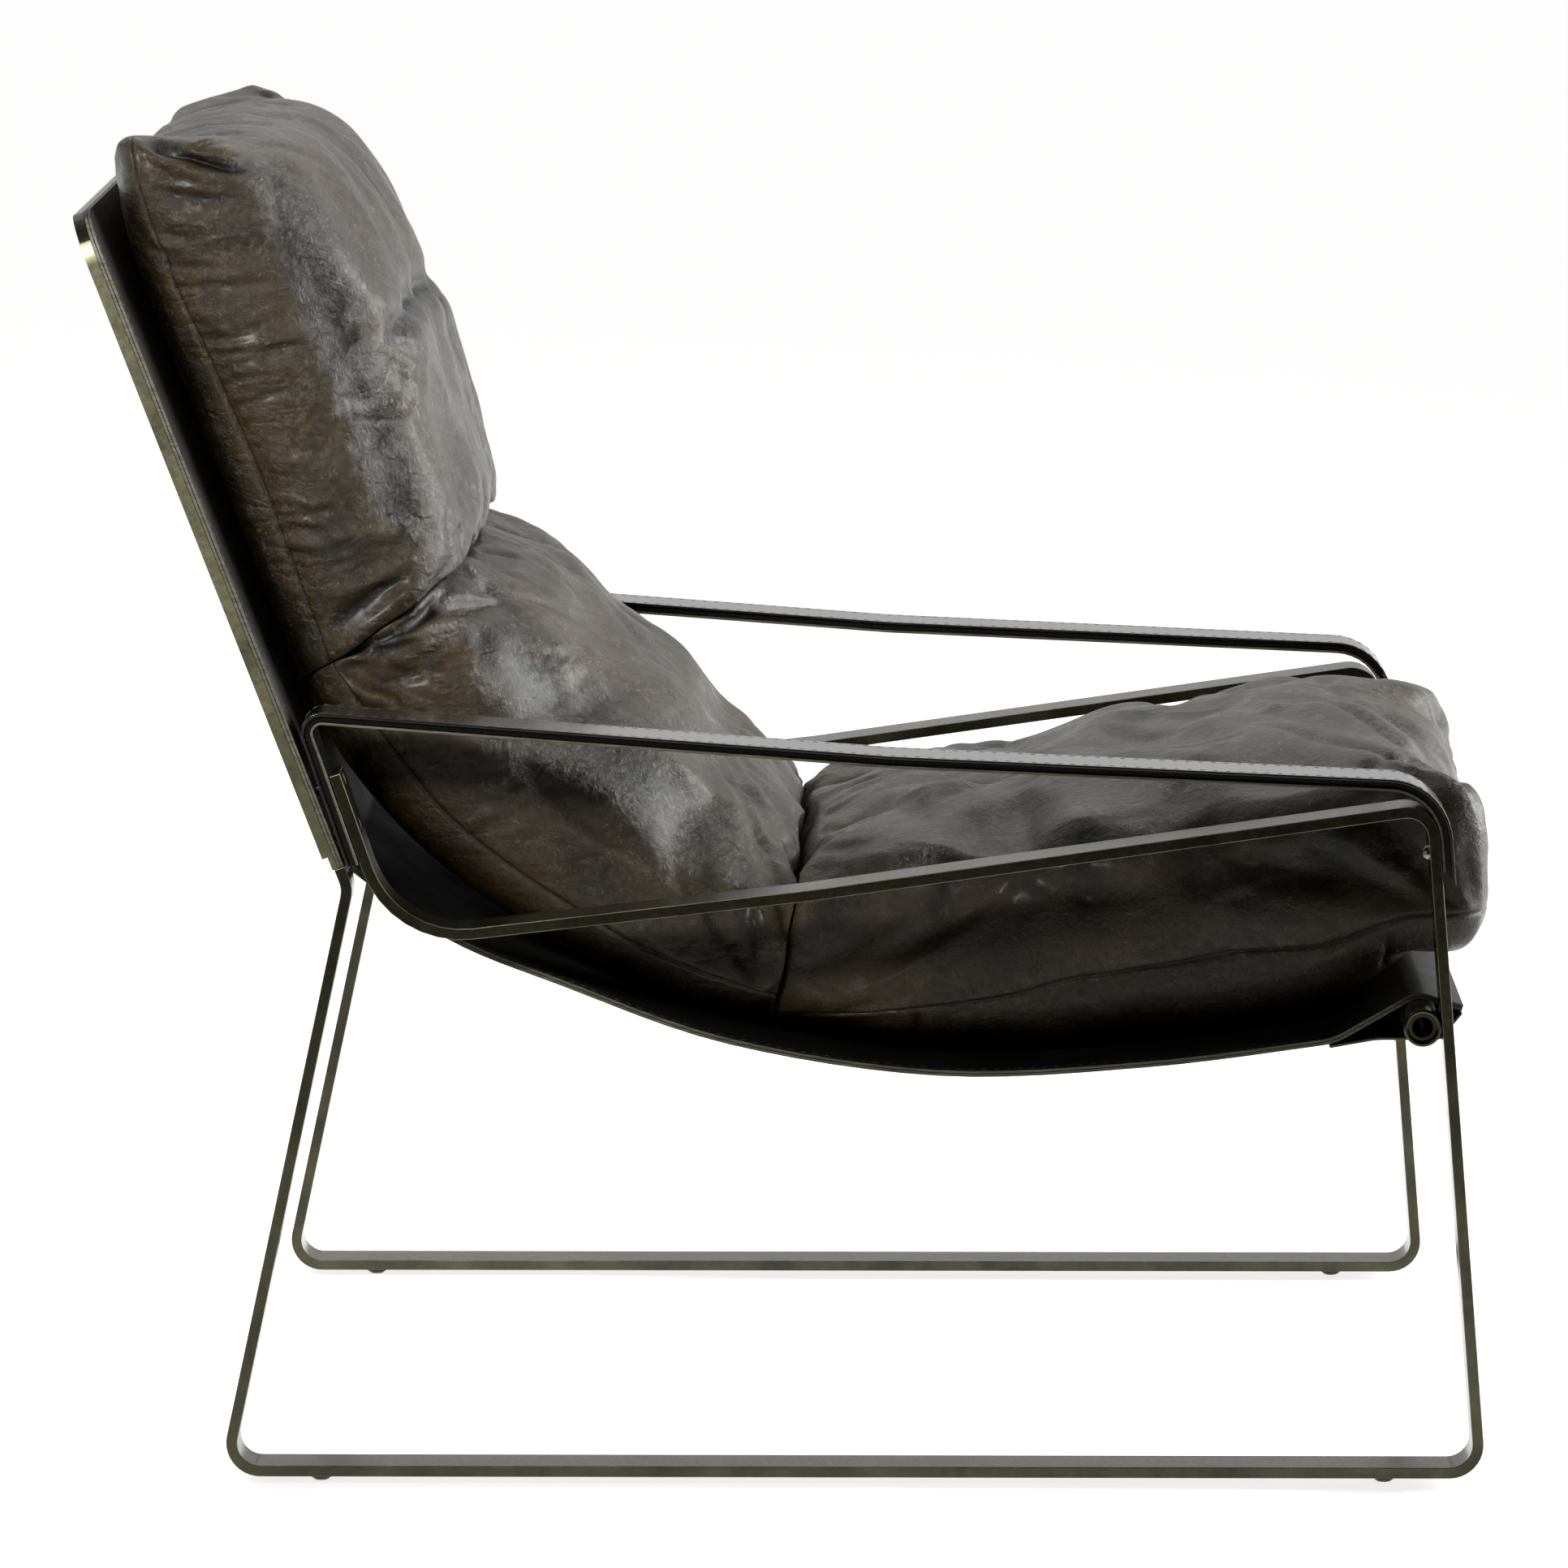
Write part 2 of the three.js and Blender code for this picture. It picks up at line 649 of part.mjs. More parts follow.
function bendTo(path, control, end) {
  path.quadraticCurveTo(control.x, control.y, end.x, end.y);
}

const startAt = (point) => new THREE.Path().moveTo(point.x, point.y);

// Upper back cushion: its head stands clear above the sling's top edge
const headRise = uprightLength + headOverhang;
const upperRear = startAt(onBack(headRise, headDepth));
bendTo(upperRear, onBack(uprightLength, restDepth), onBack(uprightLength - headBend, restDepth));
const upperFoot = onBack(creaseRearRise, restDepth);
upperRear.lineTo(upperFoot.x, upperFoot.y);
const upperFront = new THREE.SplineCurve([
  ...upperCrown.map(([drop, depth]) => onBack(headRise - drop, depth)),
  onBack(creaseFrontRise, creaseDepth),
]);
addPart('upper_back_cushion', cushion(upperRear, upperFront, upperForm), cushionLeather);

// Lower back cushion: bridges the sling's rear corner
const lowerTop = onBack(creaseRearRise - creaseGap, restDepth);
const lowerRear = startAt(lowerTop);
const bridgeEnd = onSling(bridgeEndX);
const bridgeSlope = onSling(bridgeEndX + slopeStep).sub(bridgeEnd);
bendTo(lowerRear, meet(lowerTop, backUp, bridgeEnd, bridgeSlope), bridgeEnd);
followSling(lowerRear, bridgeEndX, seatCreaseX);
const creaseCrownX = seatCreaseX + seatCreaseLean;
const lowerFront = new THREE.SplineCurve([
  onBack(creaseFrontRise - creaseGap, creaseDepth),
  ...lowerCrown.map(overSling),
  overSling([creaseCrownX - creaseGap, seatCreaseHeight]),
]);
addPart('lower_back_cushion', cushion(lowerRear, lowerFront, lowerForm), cushionLeather);

// Seat cushion: lies in the sling and overhangs the front tube
const seatRearX = seatCreaseX + creaseGap;
const seatRear = startAt(onSling(seatRearX));
followSling(seatRear, seatRearX, slingCrest.x);
seatRear.lineTo(tubeCentre.x + seatNoseReach, tubeCentre.y + seatNoseRise);
const seatFront = new THREE.SplineCurve([
  overSling([creaseCrownX, seatCreaseHeight]),
  ...seatCrown.map(overSling),
  ...offsetsFrom(tubeCentre, noseCrown),
]);
addPart('seat_cushion', cushion(seatRear, seatFront, seatForm), cushionLeather);

export default chair;
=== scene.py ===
import bpy
import bmesh
import math
import numpy as np
from mathutils import Matrix, Vector


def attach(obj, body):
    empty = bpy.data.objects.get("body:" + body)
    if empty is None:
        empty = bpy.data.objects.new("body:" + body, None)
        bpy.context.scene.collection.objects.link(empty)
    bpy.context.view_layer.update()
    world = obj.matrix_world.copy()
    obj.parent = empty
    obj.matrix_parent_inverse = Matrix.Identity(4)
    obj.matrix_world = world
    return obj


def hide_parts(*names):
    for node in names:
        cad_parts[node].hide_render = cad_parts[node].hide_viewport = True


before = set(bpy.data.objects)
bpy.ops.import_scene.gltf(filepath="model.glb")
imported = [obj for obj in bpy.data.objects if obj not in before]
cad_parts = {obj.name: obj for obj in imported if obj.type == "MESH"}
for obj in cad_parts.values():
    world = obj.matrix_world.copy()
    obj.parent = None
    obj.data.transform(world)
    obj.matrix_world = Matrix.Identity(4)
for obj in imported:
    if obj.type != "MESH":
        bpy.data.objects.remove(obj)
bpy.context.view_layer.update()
mm = 0.001
print("frame loaded:", len(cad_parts), "nodes")


def linear(hexText):  # sRGB hex to linear colour
    rgb = [int(hexText[i:i + 2], 16) / 255 for i in (0, 2, 4)]
    return [c / 12.92 if c <= 0.04045 else ((c + 0.055) / 1.055) ** 2.4 for c in rgb] + [1]


def addNode(tree, kind, settings=None, inputs=None):
    made = tree.nodes.new(kind)
    for name, value in (settings or {}).items():
        setattr(made, name, value)
    for socket, value in (inputs or {}).items():
        if isinstance(value, bpy.types.NodeSocket):
            tree.links.new(value, made.inputs[socket])
        else:
            made.inputs[socket].default_value = value
    return made


def newMaterial(name, surface):
    material = bpy.data.materials.new(name)
    material.use_nodes = True
    tree = material.node_tree
    tree.nodes.clear()
    place = addNode(tree, "ShaderNodeTexCoord").outputs["Object"]
    shader = addNode(tree, "ShaderNodeBsdfPrincipled", None, surface)
    addNode(tree, "ShaderNodeOutputMaterial", None, {"Surface": shader.outputs[0]})
    return material, tree, place, shader


def perMm(size):  # texture scale for a pattern that repeats about every size millimetres
    return 1000 / size


# Waxed pull-up hide: dark olive brown, paler where the wax has moved and on fold ridges, a grey sheen at a low angle
# and fine crackle, with painted shade near black in fold valleys, gather tucks and behind the side seam
waxedHide = {"deep": "1e160b", "body": "392c17", "worn": "6d5c34", "creaseShade": "090704", "mottle": 90, "wornPatch": 24,
             "pore": 2.2, "crackle": 6, "crease": 13, "gather": (60, 60, 14), "streak": (70, 6, 70),
             "rough": (0.2, 0.44)}


def waxedLeather():
    spec = waxedHide
    material, tree, place, shader = newMaterial("waxed_pull_up_leather", {
        "IOR": 1.42, "Coat Weight": 0.08, "Coat Roughness": 0.22})
    mottle = addNode(tree, "ShaderNodeTexNoise", None, {
        "Vector": place, "Scale": perMm(spec["mottle"]), "Detail": 5, "Roughness": 0.62, "Distortion": 0.5})
    patch = addNode(tree, "ShaderNodeTexNoise", None, {
        "Vector": place, "Scale": perMm(spec["wornPatch"]), "Detail": 7, "Roughness": 0.7, "Distortion": 1.4})
    tone = addNode(tree, "ShaderNodeMapRange", None, {
        "Value": mottle.outputs["Fac"], "From Min": 0.34, "From Max": 0.66})
    body = addNode(tree, "ShaderNodeMix", {"data_type": "RGBA"}, {
        0: tone.outputs[0], 6: linear(spec["deep"]), 7: linear(spec["body"])})
    wear = addNode(tree, "ShaderNodeMapRange", None, {
        "Value": patch.outputs["Fac"], "From Min": 0.5, "From Max": 0.8, "To Max": 0.3})
    rubbed = addNode(tree, "ShaderNodeMix", {"data_type": "RGBA"}, {
        0: wear.outputs[0], 6: body.outputs[2], 7: linear(spec["worn"])})
    # painted shade: a mesh attribute darkens fold valleys and the strip behind the side seam towards near black, and
    # makes fold ridges paler as pull-up wear
    crease_shade_ridge_wear = addNode(tree, "ShaderNodeAttribute", {"attribute_name": "crease_shade_ridge_wear"}).outputs["Fac"]
    creaseShade = addNode(tree, "ShaderNodeMapRange", None, {"Value": crease_shade_ridge_wear, "From Max": 0.7, "To Max": 0.9})
    ridge = addNode(tree, "ShaderNodeMapRange", None, {"Value": crease_shade_ridge_wear, "From Max": -0.6, "To Max": 0.55})
    lifted = addNode(tree, "ShaderNodeMix", {"data_type": "RGBA"}, {
        0: ridge.outputs[0], 6: rubbed.outputs[2], 7: linear(spec["worn"])})
    gathered = addNode(tree, "ShaderNodeAttribute", {"attribute_name": "gathered"}).outputs["Fac"]
    bent = addNode(tree, "ShaderNodeVectorMath", {"operation": "MULTIPLY_ADD"}, {
        0: patch.outputs["Color"], 1: (0.02, 0.02, 0.02), 2: place})
    swayed = addNode(tree, "ShaderNodeVectorMath", {"operation": "MULTIPLY_ADD"}, {
        0: mottle.outputs["Color"], 1: (0.03, 0.03, 0.03), 2: place})
    drawn = addNode(tree, "ShaderNodeMapping", None, {
        "Vector": swayed.outputs[0], "Scale": [perMm(size) for size in spec["gather"]]})
    gather = addNode(tree, "ShaderNodeTexNoise", None, {
        "Vector": drawn.outputs[0], "Scale": 1, "Detail": 2, "Roughness": 0.5})
    beside = addNode(tree, "ShaderNodeMath", {"operation": "SUBTRACT"}, {0: gather.outputs["Fac"], 1: 0.5})
    beside = addNode(tree, "ShaderNodeMath", {"operation": "ABSOLUTE"}, {0: beside.outputs[0]})
    roll = addNode(tree, "ShaderNodeMapRange", {"interpolation_type": "SMOOTHERSTEP"}, {
        "Value": beside.outputs[0], "From Max": 0.09})
    # painted shade in the tucks of the side gathers, where the gather noise rolls over
    tuckShadeLevel = addNode(tree, "ShaderNodeMapRange", None, {
        "Value": roll.outputs[0], "From Min": 0.5, "From Max": 0, "To Max": 0.4})
    tuckShade = addNode(tree, "ShaderNodeMath", {"operation": "MULTIPLY"}, {0: tuckShadeLevel.outputs[0], 1: gathered})
    # mix factor of the painted shade colour: fold valleys, seam strip and gather tucks
    dark = addNode(tree, "ShaderNodeMath", {"operation": "MAXIMUM"}, {0: creaseShade.outputs[0], 1: tuckShade.outputs[0]})
    colour = addNode(tree, "ShaderNodeMix", {"data_type": "RGBA"}, {
        0: dark.outputs[0], 6: lifted.outputs[2], 7: linear(spec["creaseShade"])})
    gloss = addNode(tree, "ShaderNodeMapRange", None, {
        "Value": patch.outputs["Fac"], "From Min": 0.3, "From Max": 0.7,
        "To Min": spec["rough"][1], "To Max": spec["rough"][0]})
    pulled = addNode(tree, "ShaderNodeMapping", None, {
        "Vector": bent.outputs[0], "Scale": [perMm(size) for size in spec["streak"]]})
    streak = addNode(tree, "ShaderNodeTexNoise", None, {
        "Vector": pulled.outputs[0], "Scale": 1, "Detail": 4, "Roughness": 0.6})
    pores = addNode(tree, "ShaderNodeTexVoronoi", {"feature": "DISTANCE_TO_EDGE"}, {
        "Vector": place, "Scale": perMm(spec["pore"])})
    crackle = addNode(tree, "ShaderNodeTexNoise", None, {
        "Vector": place, "Scale": perMm(spec["crackle"]), "Detail": 6, "Roughness": 0.68, "Distortion": 1.6})
    crease = addNode(tree, "ShaderNodeTexVoronoi", {"feature": "DISTANCE_TO_EDGE"}, {
        "Vector": bent.outputs[0], "Scale": perMm(spec["crease"])})
    line = addNode(tree, "ShaderNodeMapRange", None, {"Value": crease.outputs["Distance"], "From Max": 0.16})
    poreBump = addNode(tree, "ShaderNodeBump", None, {
        "Height": pores.outputs["Distance"], "Strength": 0.2, "Distance": 0.5 * mm})
    crackleBump = addNode(tree, "ShaderNodeBump", None, {
        "Height": crackle.outputs["Fac"], "Strength": 0.75, "Distance": 1.8 * mm,
        "Normal": poreBump.outputs[0]})
    creaseBump = addNode(tree, "ShaderNodeBump", None, {
        "Height": line.outputs[0], "Strength": 0.22, "Distance": 0.6 * mm, "Normal": crackleBump.outputs[0]})
    streakBump = addNode(tree, "ShaderNodeBump", None, {
        "Height": streak.outputs["Fac"], "Strength": 0.6, "Distance": 1.6 * mm, "Normal": creaseBump.outputs[0]})
    gatherBump = addNode(tree, "ShaderNodeBump", None, {
        "Height": roll.outputs[0], "Strength": gathered, "Distance": 0.9 * mm, "Normal": streakBump.outputs[0]})
    tree.links.new(colour.outputs[2], shader.inputs["Base Color"])
    tree.links.new(gloss.outputs[0], shader.inputs["Roughness"])
    tree.links.new(gatherBump.outputs[0], shader.inputs["Normal"])
    return material


# Saddle leather: thick, smooth and black, with a tight grain that greys at a low angle
saddleHide = {"dark": "070706", "light": "0d0c0a", "cloud": 45, "grain": 1.1, "rough": (0.36, 0.5), "coat": 0}


def saddleLeather(name="black_saddle_leather", spec=saddleHide):
    material, tree, place, shader = newMaterial(name, {
        "IOR": 1.5, "Coat Weight": spec["coat"], "Coat Roughness": 0.16})
    cloud = addNode(tree, "ShaderNodeTexNoise", None, {
        "Vector": place, "Scale": perMm(spec["cloud"]), "Detail": 4, "Roughness": 0.6})
    grain = addNode(tree, "ShaderNodeTexVoronoi", {"feature": "DISTANCE_TO_EDGE"}, {
        "Vector": place, "Scale": perMm(spec["grain"])})
    colour = addNode(tree, "ShaderNodeMix", {"data_type": "RGBA"}, {
        0: cloud.outputs["Fac"], 6: linear(spec["dark"]), 7: linear(spec["light"])})
    gloss = addNode(tree, "ShaderNodeMapRange", None, {
        "Value": cloud.outputs["Fac"], "From Min": 0.3, "From Max": 0.7,
        "To Min": spec["rough"][0], "To Max": spec["rough"][1]})
    bump = addNode(tree, "ShaderNodeBump", None, {
        "Height": grain.outputs["Distance"], "Strength": 0.1, "Distance": 0.3 * mm})
    tree.links.new(colour.outputs[2], shader.inputs["Base Color"])
    tree.links.new(gloss.outputs[0], shader.inputs["Roughness"])
    tree.links.new(bump.outputs[0], shader.inputs["Normal"])
    return material


# Cut hide edge: burnished olive grey with fibres running along it
cutEdge = {"dark": "3a392d", "light": "6a6853", "fibre": (30, 30, 1.2)}


def burnishedEdge():
    spec = cutEdge
    material, tree, place, shader = newMaterial("burnished_leather_edge", {"Roughness": 0.55})
    stretch = addNode(tree, "ShaderNodeMapping", None, {
        "Vector": place, "Scale": [perMm(size) for size in spec["fibre"]]})
    fibre = addNode(tree, "ShaderNodeTexNoise", None, {
        "Vector": stretch.outputs[0], "Scale": 1, "Detail": 4, "Roughness": 0.6})
    spread = addNode(tree, "ShaderNodeMapRange", None, {
        "Value": fibre.outputs["Fac"], "From Min": 0.35, "From Max": 0.65})
    colour = addNode(tree, "ShaderNodeMix", {"data_type": "RGBA"}, {
        0: spread.outputs[0], 6: linear(spec["dark"]), 7: linear(spec["light"])})
    tree.links.new(colour.outputs[2], shader.inputs["Base Color"])
    return material


# Hot-rolled steel under bronze lacquer: olive metal with a cloudy satin shine, paler on the arrises
bronzedBar = {"dark": "3a382c", "light": "524f3e", "rubbed": "807c63", "cloud": 38, "scale": 3.2,
              "rough": (0.17, 0.26), "paleRough": (0.36, 0.48)}


def bronzedSteel(name="bronze_lacquered_steel", rubbed=False):
    spec = bronzedBar
    material, tree, place, shader = newMaterial(name, {"Metallic": 0.85})
    cloud = addNode(tree, "ShaderNodeTexNoise", None, {
        "Vector": place, "Scale": perMm(spec["cloud"]), "Detail": 6, "Roughness": 0.65, "Distortion": 0.4})
    scale = addNode(tree, "ShaderNodeTexNoise", None, {
        "Vector": place, "Scale": perMm(spec["scale"]), "Detail": 3, "Roughness": 0.6})
    spread = addNode(tree, "ShaderNodeMapRange", None, {
        "Value": cloud.outputs["Fac"], "From Min": 0.32, "From Max": 0.68})
    colour = addNode(tree, "ShaderNodeMix", {"data_type": "RGBA"}, {
        0: spread.outputs[0], 6: linear(spec["light"] if rubbed else spec["dark"]),
        7: linear(spec["rubbed"] if rubbed else spec["light"])})
    low, high = spec["paleRough"] if rubbed else spec["rough"]
    gloss = addNode(tree, "ShaderNodeMapRange", None, {
        "Value": scale.outputs["Fac"], "From Min": 0.3, "From Max": 0.7, "To Min": low, "To Max": high})
    bump = addNode(tree, "ShaderNodeBump", None, {
        "Height": scale.outputs["Fac"], "Strength": 0.02, "Distance": 0.2 * mm})
    tree.links.new(colour.outputs[2], shader.inputs["Base Color"])
    tree.links.new(gloss.outputs[0], shader.inputs["Roughness"])
    tree.links.new(bump.outputs[0], shader.inputs["Normal"])
    return material


# Blackened steel: oil-black screws and strip, satin with a little speckle
blackOxide = {"dark": "1d1c1a", "light": "34322d", "speckle": 1.5, "rough": 0.34}


def blackenedSteel(name="blackened_steel", spec=blackOxide):
    material, tree, place, shader = newMaterial(name, {"Metallic": 0.9, "Roughness": spec["rough"]})
    speckle = addNode(tree, "ShaderNodeTexNoise", None, {
        "Vector": place, "Scale": perMm(spec["speckle"]), "Detail": 3, "Roughness": 0.6})
    colour = addNode(tree, "ShaderNodeMix", {"data_type": "RGBA"}, {
        0: speckle.outputs["Fac"], 6: linear(spec["dark"]), 7: linear(spec["light"])})
    tree.links.new(colour.outputs[2], shader.inputs["Base Color"])
    return material


# Moulded nylon glide: dark grey with a fine matt texture
nylonFoot = {"dark": "262523", "light": "34322f", "texture": 0.8}


def mouldedNylon():
    spec = nylonFoot
    material, tree, place, shader = newMaterial("moulded_nylon", {"Roughness": 0.55})
    grit = addNode(tree, "ShaderNodeTexNoise", None, {
        "Vector": place, "Scale": perMm(spec["texture"]), "Detail": 2})
    colour = addNode(tree, "ShaderNodeMix", {"data_type": "RGBA"}, {
        0: grit.outputs["Fac"], 6: linear(spec["dark"]), 7: linear(spec["light"])})
    bump = addNode(tree, "ShaderNodeBump", None, {
        "Height": grit.outputs["Fac"], "Strength": 0.15, "Distance": 0.2 * mm})
    tree.links.new(colour.outputs[2], shader.inputs["Base Color"])
    tree.links.new(bump.outputs[0], shader.inputs["Normal"])
    return material


# Waxed linen thread: twisted, dull, a shade paler than the hide
linenThread = {"dark": "3b382f", "light": "5d594a", "twist": 0.9}


def waxedThread():
    spec = linenThread
    material, tree, place, shader = newMaterial("waxed_linen_thread", {"Roughness": 0.6})
    twist = addNode(tree, "ShaderNodeTexNoise", None, {
        "Vector": place, "Scale": perMm(spec["twist"]), "Detail": 2})
    colour = addNode(tree, "ShaderNodeMix", {"data_type": "RGBA"}, {
        0: twist.outputs["Fac"], 6: linear(spec["dark"]), 7: linear(spec["light"])})
    tree.links.new(colour.outputs[2], shader.inputs["Base Color"])
    return material


cushionFinish = waxedLeather()
slingFinish = saddleLeather()
armFinish = saddleLeather("black_arm_leather", {"dark": "100f0d", "light": "1a1915", "cloud": 30, "grain": 0.9,
                                                "rough": (0.24, 0.34), "coat": 1})
edgeFinish = burnishedEdge()
barFinish = bronzedSteel()
arrisFinish = bronzedSteel("pale_bronze_arris", True)
hardwareFinish = blackenedSteel()
screwFinish = blackenedSteel("polished_screw_steel", {"dark": "9a978c", "light": "c4c1b4", "speckle": 1.5,
                                                      "rough": 0.16})
glideFinish = mouldedNylon()
threadFinish = waxedThread()
print("materials made")


def addPiece(name, bm, materials, replaced=()):
    mesh = bpy.data.meshes.new(name)
    bm.to_mesh(mesh)
    bm.free()
    for material in materials:
        mesh.materials.append(material)
    piece = bpy.data.objects.new(name, mesh)
    bpy.context.scene.collection.objects.link(piece)
    for polygon in mesh.polygons:
        polygon.use_smooth = True
    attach(piece, "root")
    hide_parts(*replaced)
    return piece


def cadCopy(node):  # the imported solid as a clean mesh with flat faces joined
    bm = bmesh.new()
    bm.from_mesh(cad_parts[node].data)
    bmesh.ops.remove_doubles(bm, verts=bm.verts, dist=1e-6)
    bmesh.ops.dissolve_limit(bm, angle_limit=math.radians(0.5), verts=bm.verts, edges=bm.edges)
    for face in bm.faces:
        face.material_index = 0
    return bm


def roundArrises(bm, width, segments=2, sharp=30):
    edges = [e for e in bm.edges if e.is_manifold and e.calc_face_angle() > math.radians(sharp)]
    made = bmesh.ops.bevel(bm, geom=edges, offset=width, offset_type="OFFSET", segments=segments,
                           profile=0.5, affect="EDGES", material=-1, clamp_overlap=True)
    return made["faces"]


def evenNormals(piece):
    modifier = piece.modifiers.new("even normals", "WEIGHTED_NORMAL")
    modifier.keep_sharp = True
    piece.data.set_sharp_from_angle(angle=math.radians(50))


# Steel frame: the imported bars with rolled arrises in a paler finish, and uprights in that paler finish on their outer
# faces
steelFrame = {"arris": 0.7, "outward": 0.9, "barNodes": ["right_leg_loop", "left_leg_loop", "right_upright",
                                                         "left_upright", "back_top_rail", "back_lower_rail"]}
for node in steelFrame["barNodes"]:
    bm = cadCopy(node)
    for face in roundArrises(bm, steelFrame["arris"] * mm):
        face.material_index = 1
    if "upright" in node:
        for face in bm.faces:
            if abs(face.normal.y) > steelFrame["outward"]:
                face.material_index = 1
    evenNormals(addPiece(node + "_bar", bm, [barFinish, arrisFinish], [node]))

# Cross tube: a stepped bore and a broken edge at each open end
crossTube = {"bore": 6.6, "step": 9, "outer": 12, "edge": 0.7, "recess": 3, "half": 350, "sides": 64}
corners = np.array([v.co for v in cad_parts["front_cross_tube"].data.vertices])
tubeX, tubeZ = (corners.min(axis=0) + corners.max(axis=0))[[0, 2]] / 2
halfEnd = [(crossTube["bore"], crossTube["recess"]), (crossTube["step"], crossTube["recess"]),
           (crossTube["step"], crossTube["edge"]), (crossTube["step"] + crossTube["edge"], 0),
           (crossTube["outer"] - crossTube["edge"], 0), (crossTube["outer"], crossTube["edge"])]
ring = [(radius, inset - crossTube["half"]) for radius, inset in halfEnd]
ring += [(radius, crossTube["half"] - inset) for radius, inset in reversed(halfEnd)]
bm = bmesh.new()
verts = [bm.verts.new((tubeX, y * mm, tubeZ + radius * mm)) for radius, y in ring]
edges = [bm.edges.new((a, b)) for a, b in zip(verts, verts[1:] + verts[:1])]
bmesh.ops.spin(bm, geom=verts + edges, cent=(tubeX, 0, tubeZ), axis=(0, 1, 0), angle=2 * math.pi,
               steps=crossTube["sides"], use_merge=True, use_duplicate=False)
bmesh.ops.recalc_face_normals(bm, faces=bm.faces)
evenNormals(addPiece("front_cross_tube_bar", bm, [barFinish], ["front_cross_tube"]))
print("steel frame dressed")

# Small hardware keeps its packed form and takes the finish of the real thing
looks = {"glide": glideFinish, "arm_screw": screwFinish, "bolt": hardwareFinish, "sling_screw": hardwareFinish,
         "arm_core": hardwareFinish}
for node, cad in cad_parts.items():
    for word, finish in looks.items():
        if word in node:
            cad.data.materials.clear()
            cad.data.materials.append(finish)


# Leather sheets: sling plies, returned front ply, back panel and arm leathers, with burnished cut edges
leatherSheets = {
    "sling_face": {"flat": (0.7, 1.184), "area": 0.774, "held": "stretched", "finish": slingFinish,
                   "slot": "sling_leather", "on": ["back_top_rail", "front_cross_tube"]},
    "sling_lining": {"flat": (0.7, 1.184), "area": 0.774, "held": "stretched", "finish": slingFinish,
                     "slot": "sling_leather", "on": ["back_top_rail", "front_cross_tube"]},
    "sling_front_wrap": {"flat": (0.626, 0.09), "area": None, "held": "folded", "finish": slingFinish,
                         "slot": "sling_leather", "on": ["front_cross_tube"]},
    "back_panel": {"flat": (0.629, 0.348), "area": None, "held": "stretched", "finish": slingFinish,
                   "slot": "sling_leather", "on": ["right_upright", "left_upright"]},
}
for side in ("right", "left"):
    for layer, length in (("upper", 0.855), ("lower", 0.838)):
        leatherSheets[f"{side}_arm_{layer}_leather"] = {
            "flat": (0.044, length), "area": None, "held": "stretched", "finish": armFinish,
            "slot": "arm_leather", "on": [f"{side}_arm_core"]}
sheetEdge = {"round": 0.45, "outward": 0.5}
hides = {}

for node, spec in leatherSheets.items():
    bm = cadCopy(node)
    roundArrises(bm, sheetEdge["round"] * mm)
    for face in bm.faces:
        if abs(face.normal.y) > sheetEdge["outward"] and "arm_upper" not in node:
            face.material_index = 1
    piece = addPiece(node + "_hide", bm, [spec["finish"], edgeFinish], [node])
    evenNormals(piece)
    hides[node] = piece
print("leather sheets cut")


def smoothPath(points, count):  # evenly spaced points on a soft curve through the given ones
    given = np.array(points, float)
    ends = np.vstack([2 * given[0] - given[1], given, 2 * given[-1] - given[-2]])
    fine = []
    for i in range(len(given) - 1):
        a, b, c, d = ends[i:i + 4]
        for t in np.linspace(0, 1, 24, endpoint=False):
            fine.append(0.5 * (2 * b + (c - a) * t + (2 * a - 5 * b + 4 * c - d) * t ** 2
                               + (3 * b - a - 3 * c + d) * t ** 3))
    fine = np.array(fine + [given[-1]])
    run = np.concatenate([[0], np.cumsum(np.linalg.norm(np.diff(fine, axis=0), axis=1))])
    at = np.linspace(0, run[-1], count)
    return np.stack([np.interp(at, run, fine[:, k]) for k in range(fine.shape[1])], axis=1)


# Stitches: waxed thread along the sling's edges and the arms, laid on the hide beneath; paths in millimetres
stitch = {"pitch": 7.5, "long": 4.6, "wide": 0.8, "high": 0.3, "sunk": 0.08, "backAt": 342, "seatAt": 306,
          "armAt": (314.5, 350.5)}
backSeam = [(-433, 798), (-384, 670), (-335, 543), (-280, 401)]
seatSeam = [(-258, 379), (-204, 342), (-142, 317), (-75, 291.5), (5, 271.5), (95, 260.5), (183, 262),
            (269, 270.5), (330, 279)]
armSeam = [(-302, 480), (-290, 492.6), (42, 467.4), (88, 464.7), (375, 451.8), (402, 443.5), (416, 420), (418, 392)]
seamPaths = []
for sign in (-1, 1):
    side = "right" if sign < 0 else "left"
    seamPaths.append(("sling_face", [(x, sign * stitch["backAt"], z) for x, z in backSeam]))
    seamPaths.append(("sling_face", [(x, sign * stitch["seatAt"], z) for x, z in seatSeam]))
    for inset in stitch["armAt"]:
        seamPaths.append((f"{side}_arm_upper_leather", [(x, sign * inset, z) for x, z in armSeam]))
bm = bmesh.new()
for node, path in seamPaths:
    length = np.linalg.norm(np.diff(np.array(path), axis=0), axis=1).sum()
    spots = smoothPath(path, int(length / stitch["pitch"])) * mm
    for spot, ahead in zip(spots[:-1], spots[1:]):
        hit, surface, up, _ = hides[node].closest_point_on_mesh(Vector(spot))
        along = Vector(ahead - spot)
        along = (along - along.dot(up) * up).normalized()
        turn = Matrix((along, up.cross(along), up)).transposed().to_4x4()
        size = Matrix.Diagonal((stitch["long"] / 2, stitch["wide"] / 2, stitch["high"], 1 / mm)) * mm
        where = Matrix.Translation(surface - up * stitch["sunk"] * mm)
        bmesh.ops.create_uvsphere(bm, u_segments=6, v_segments=4, radius=1, matrix=where @ turn @ size)
addPiece("edge_stitches", bm, [threadFinish])
print("edges stitched")


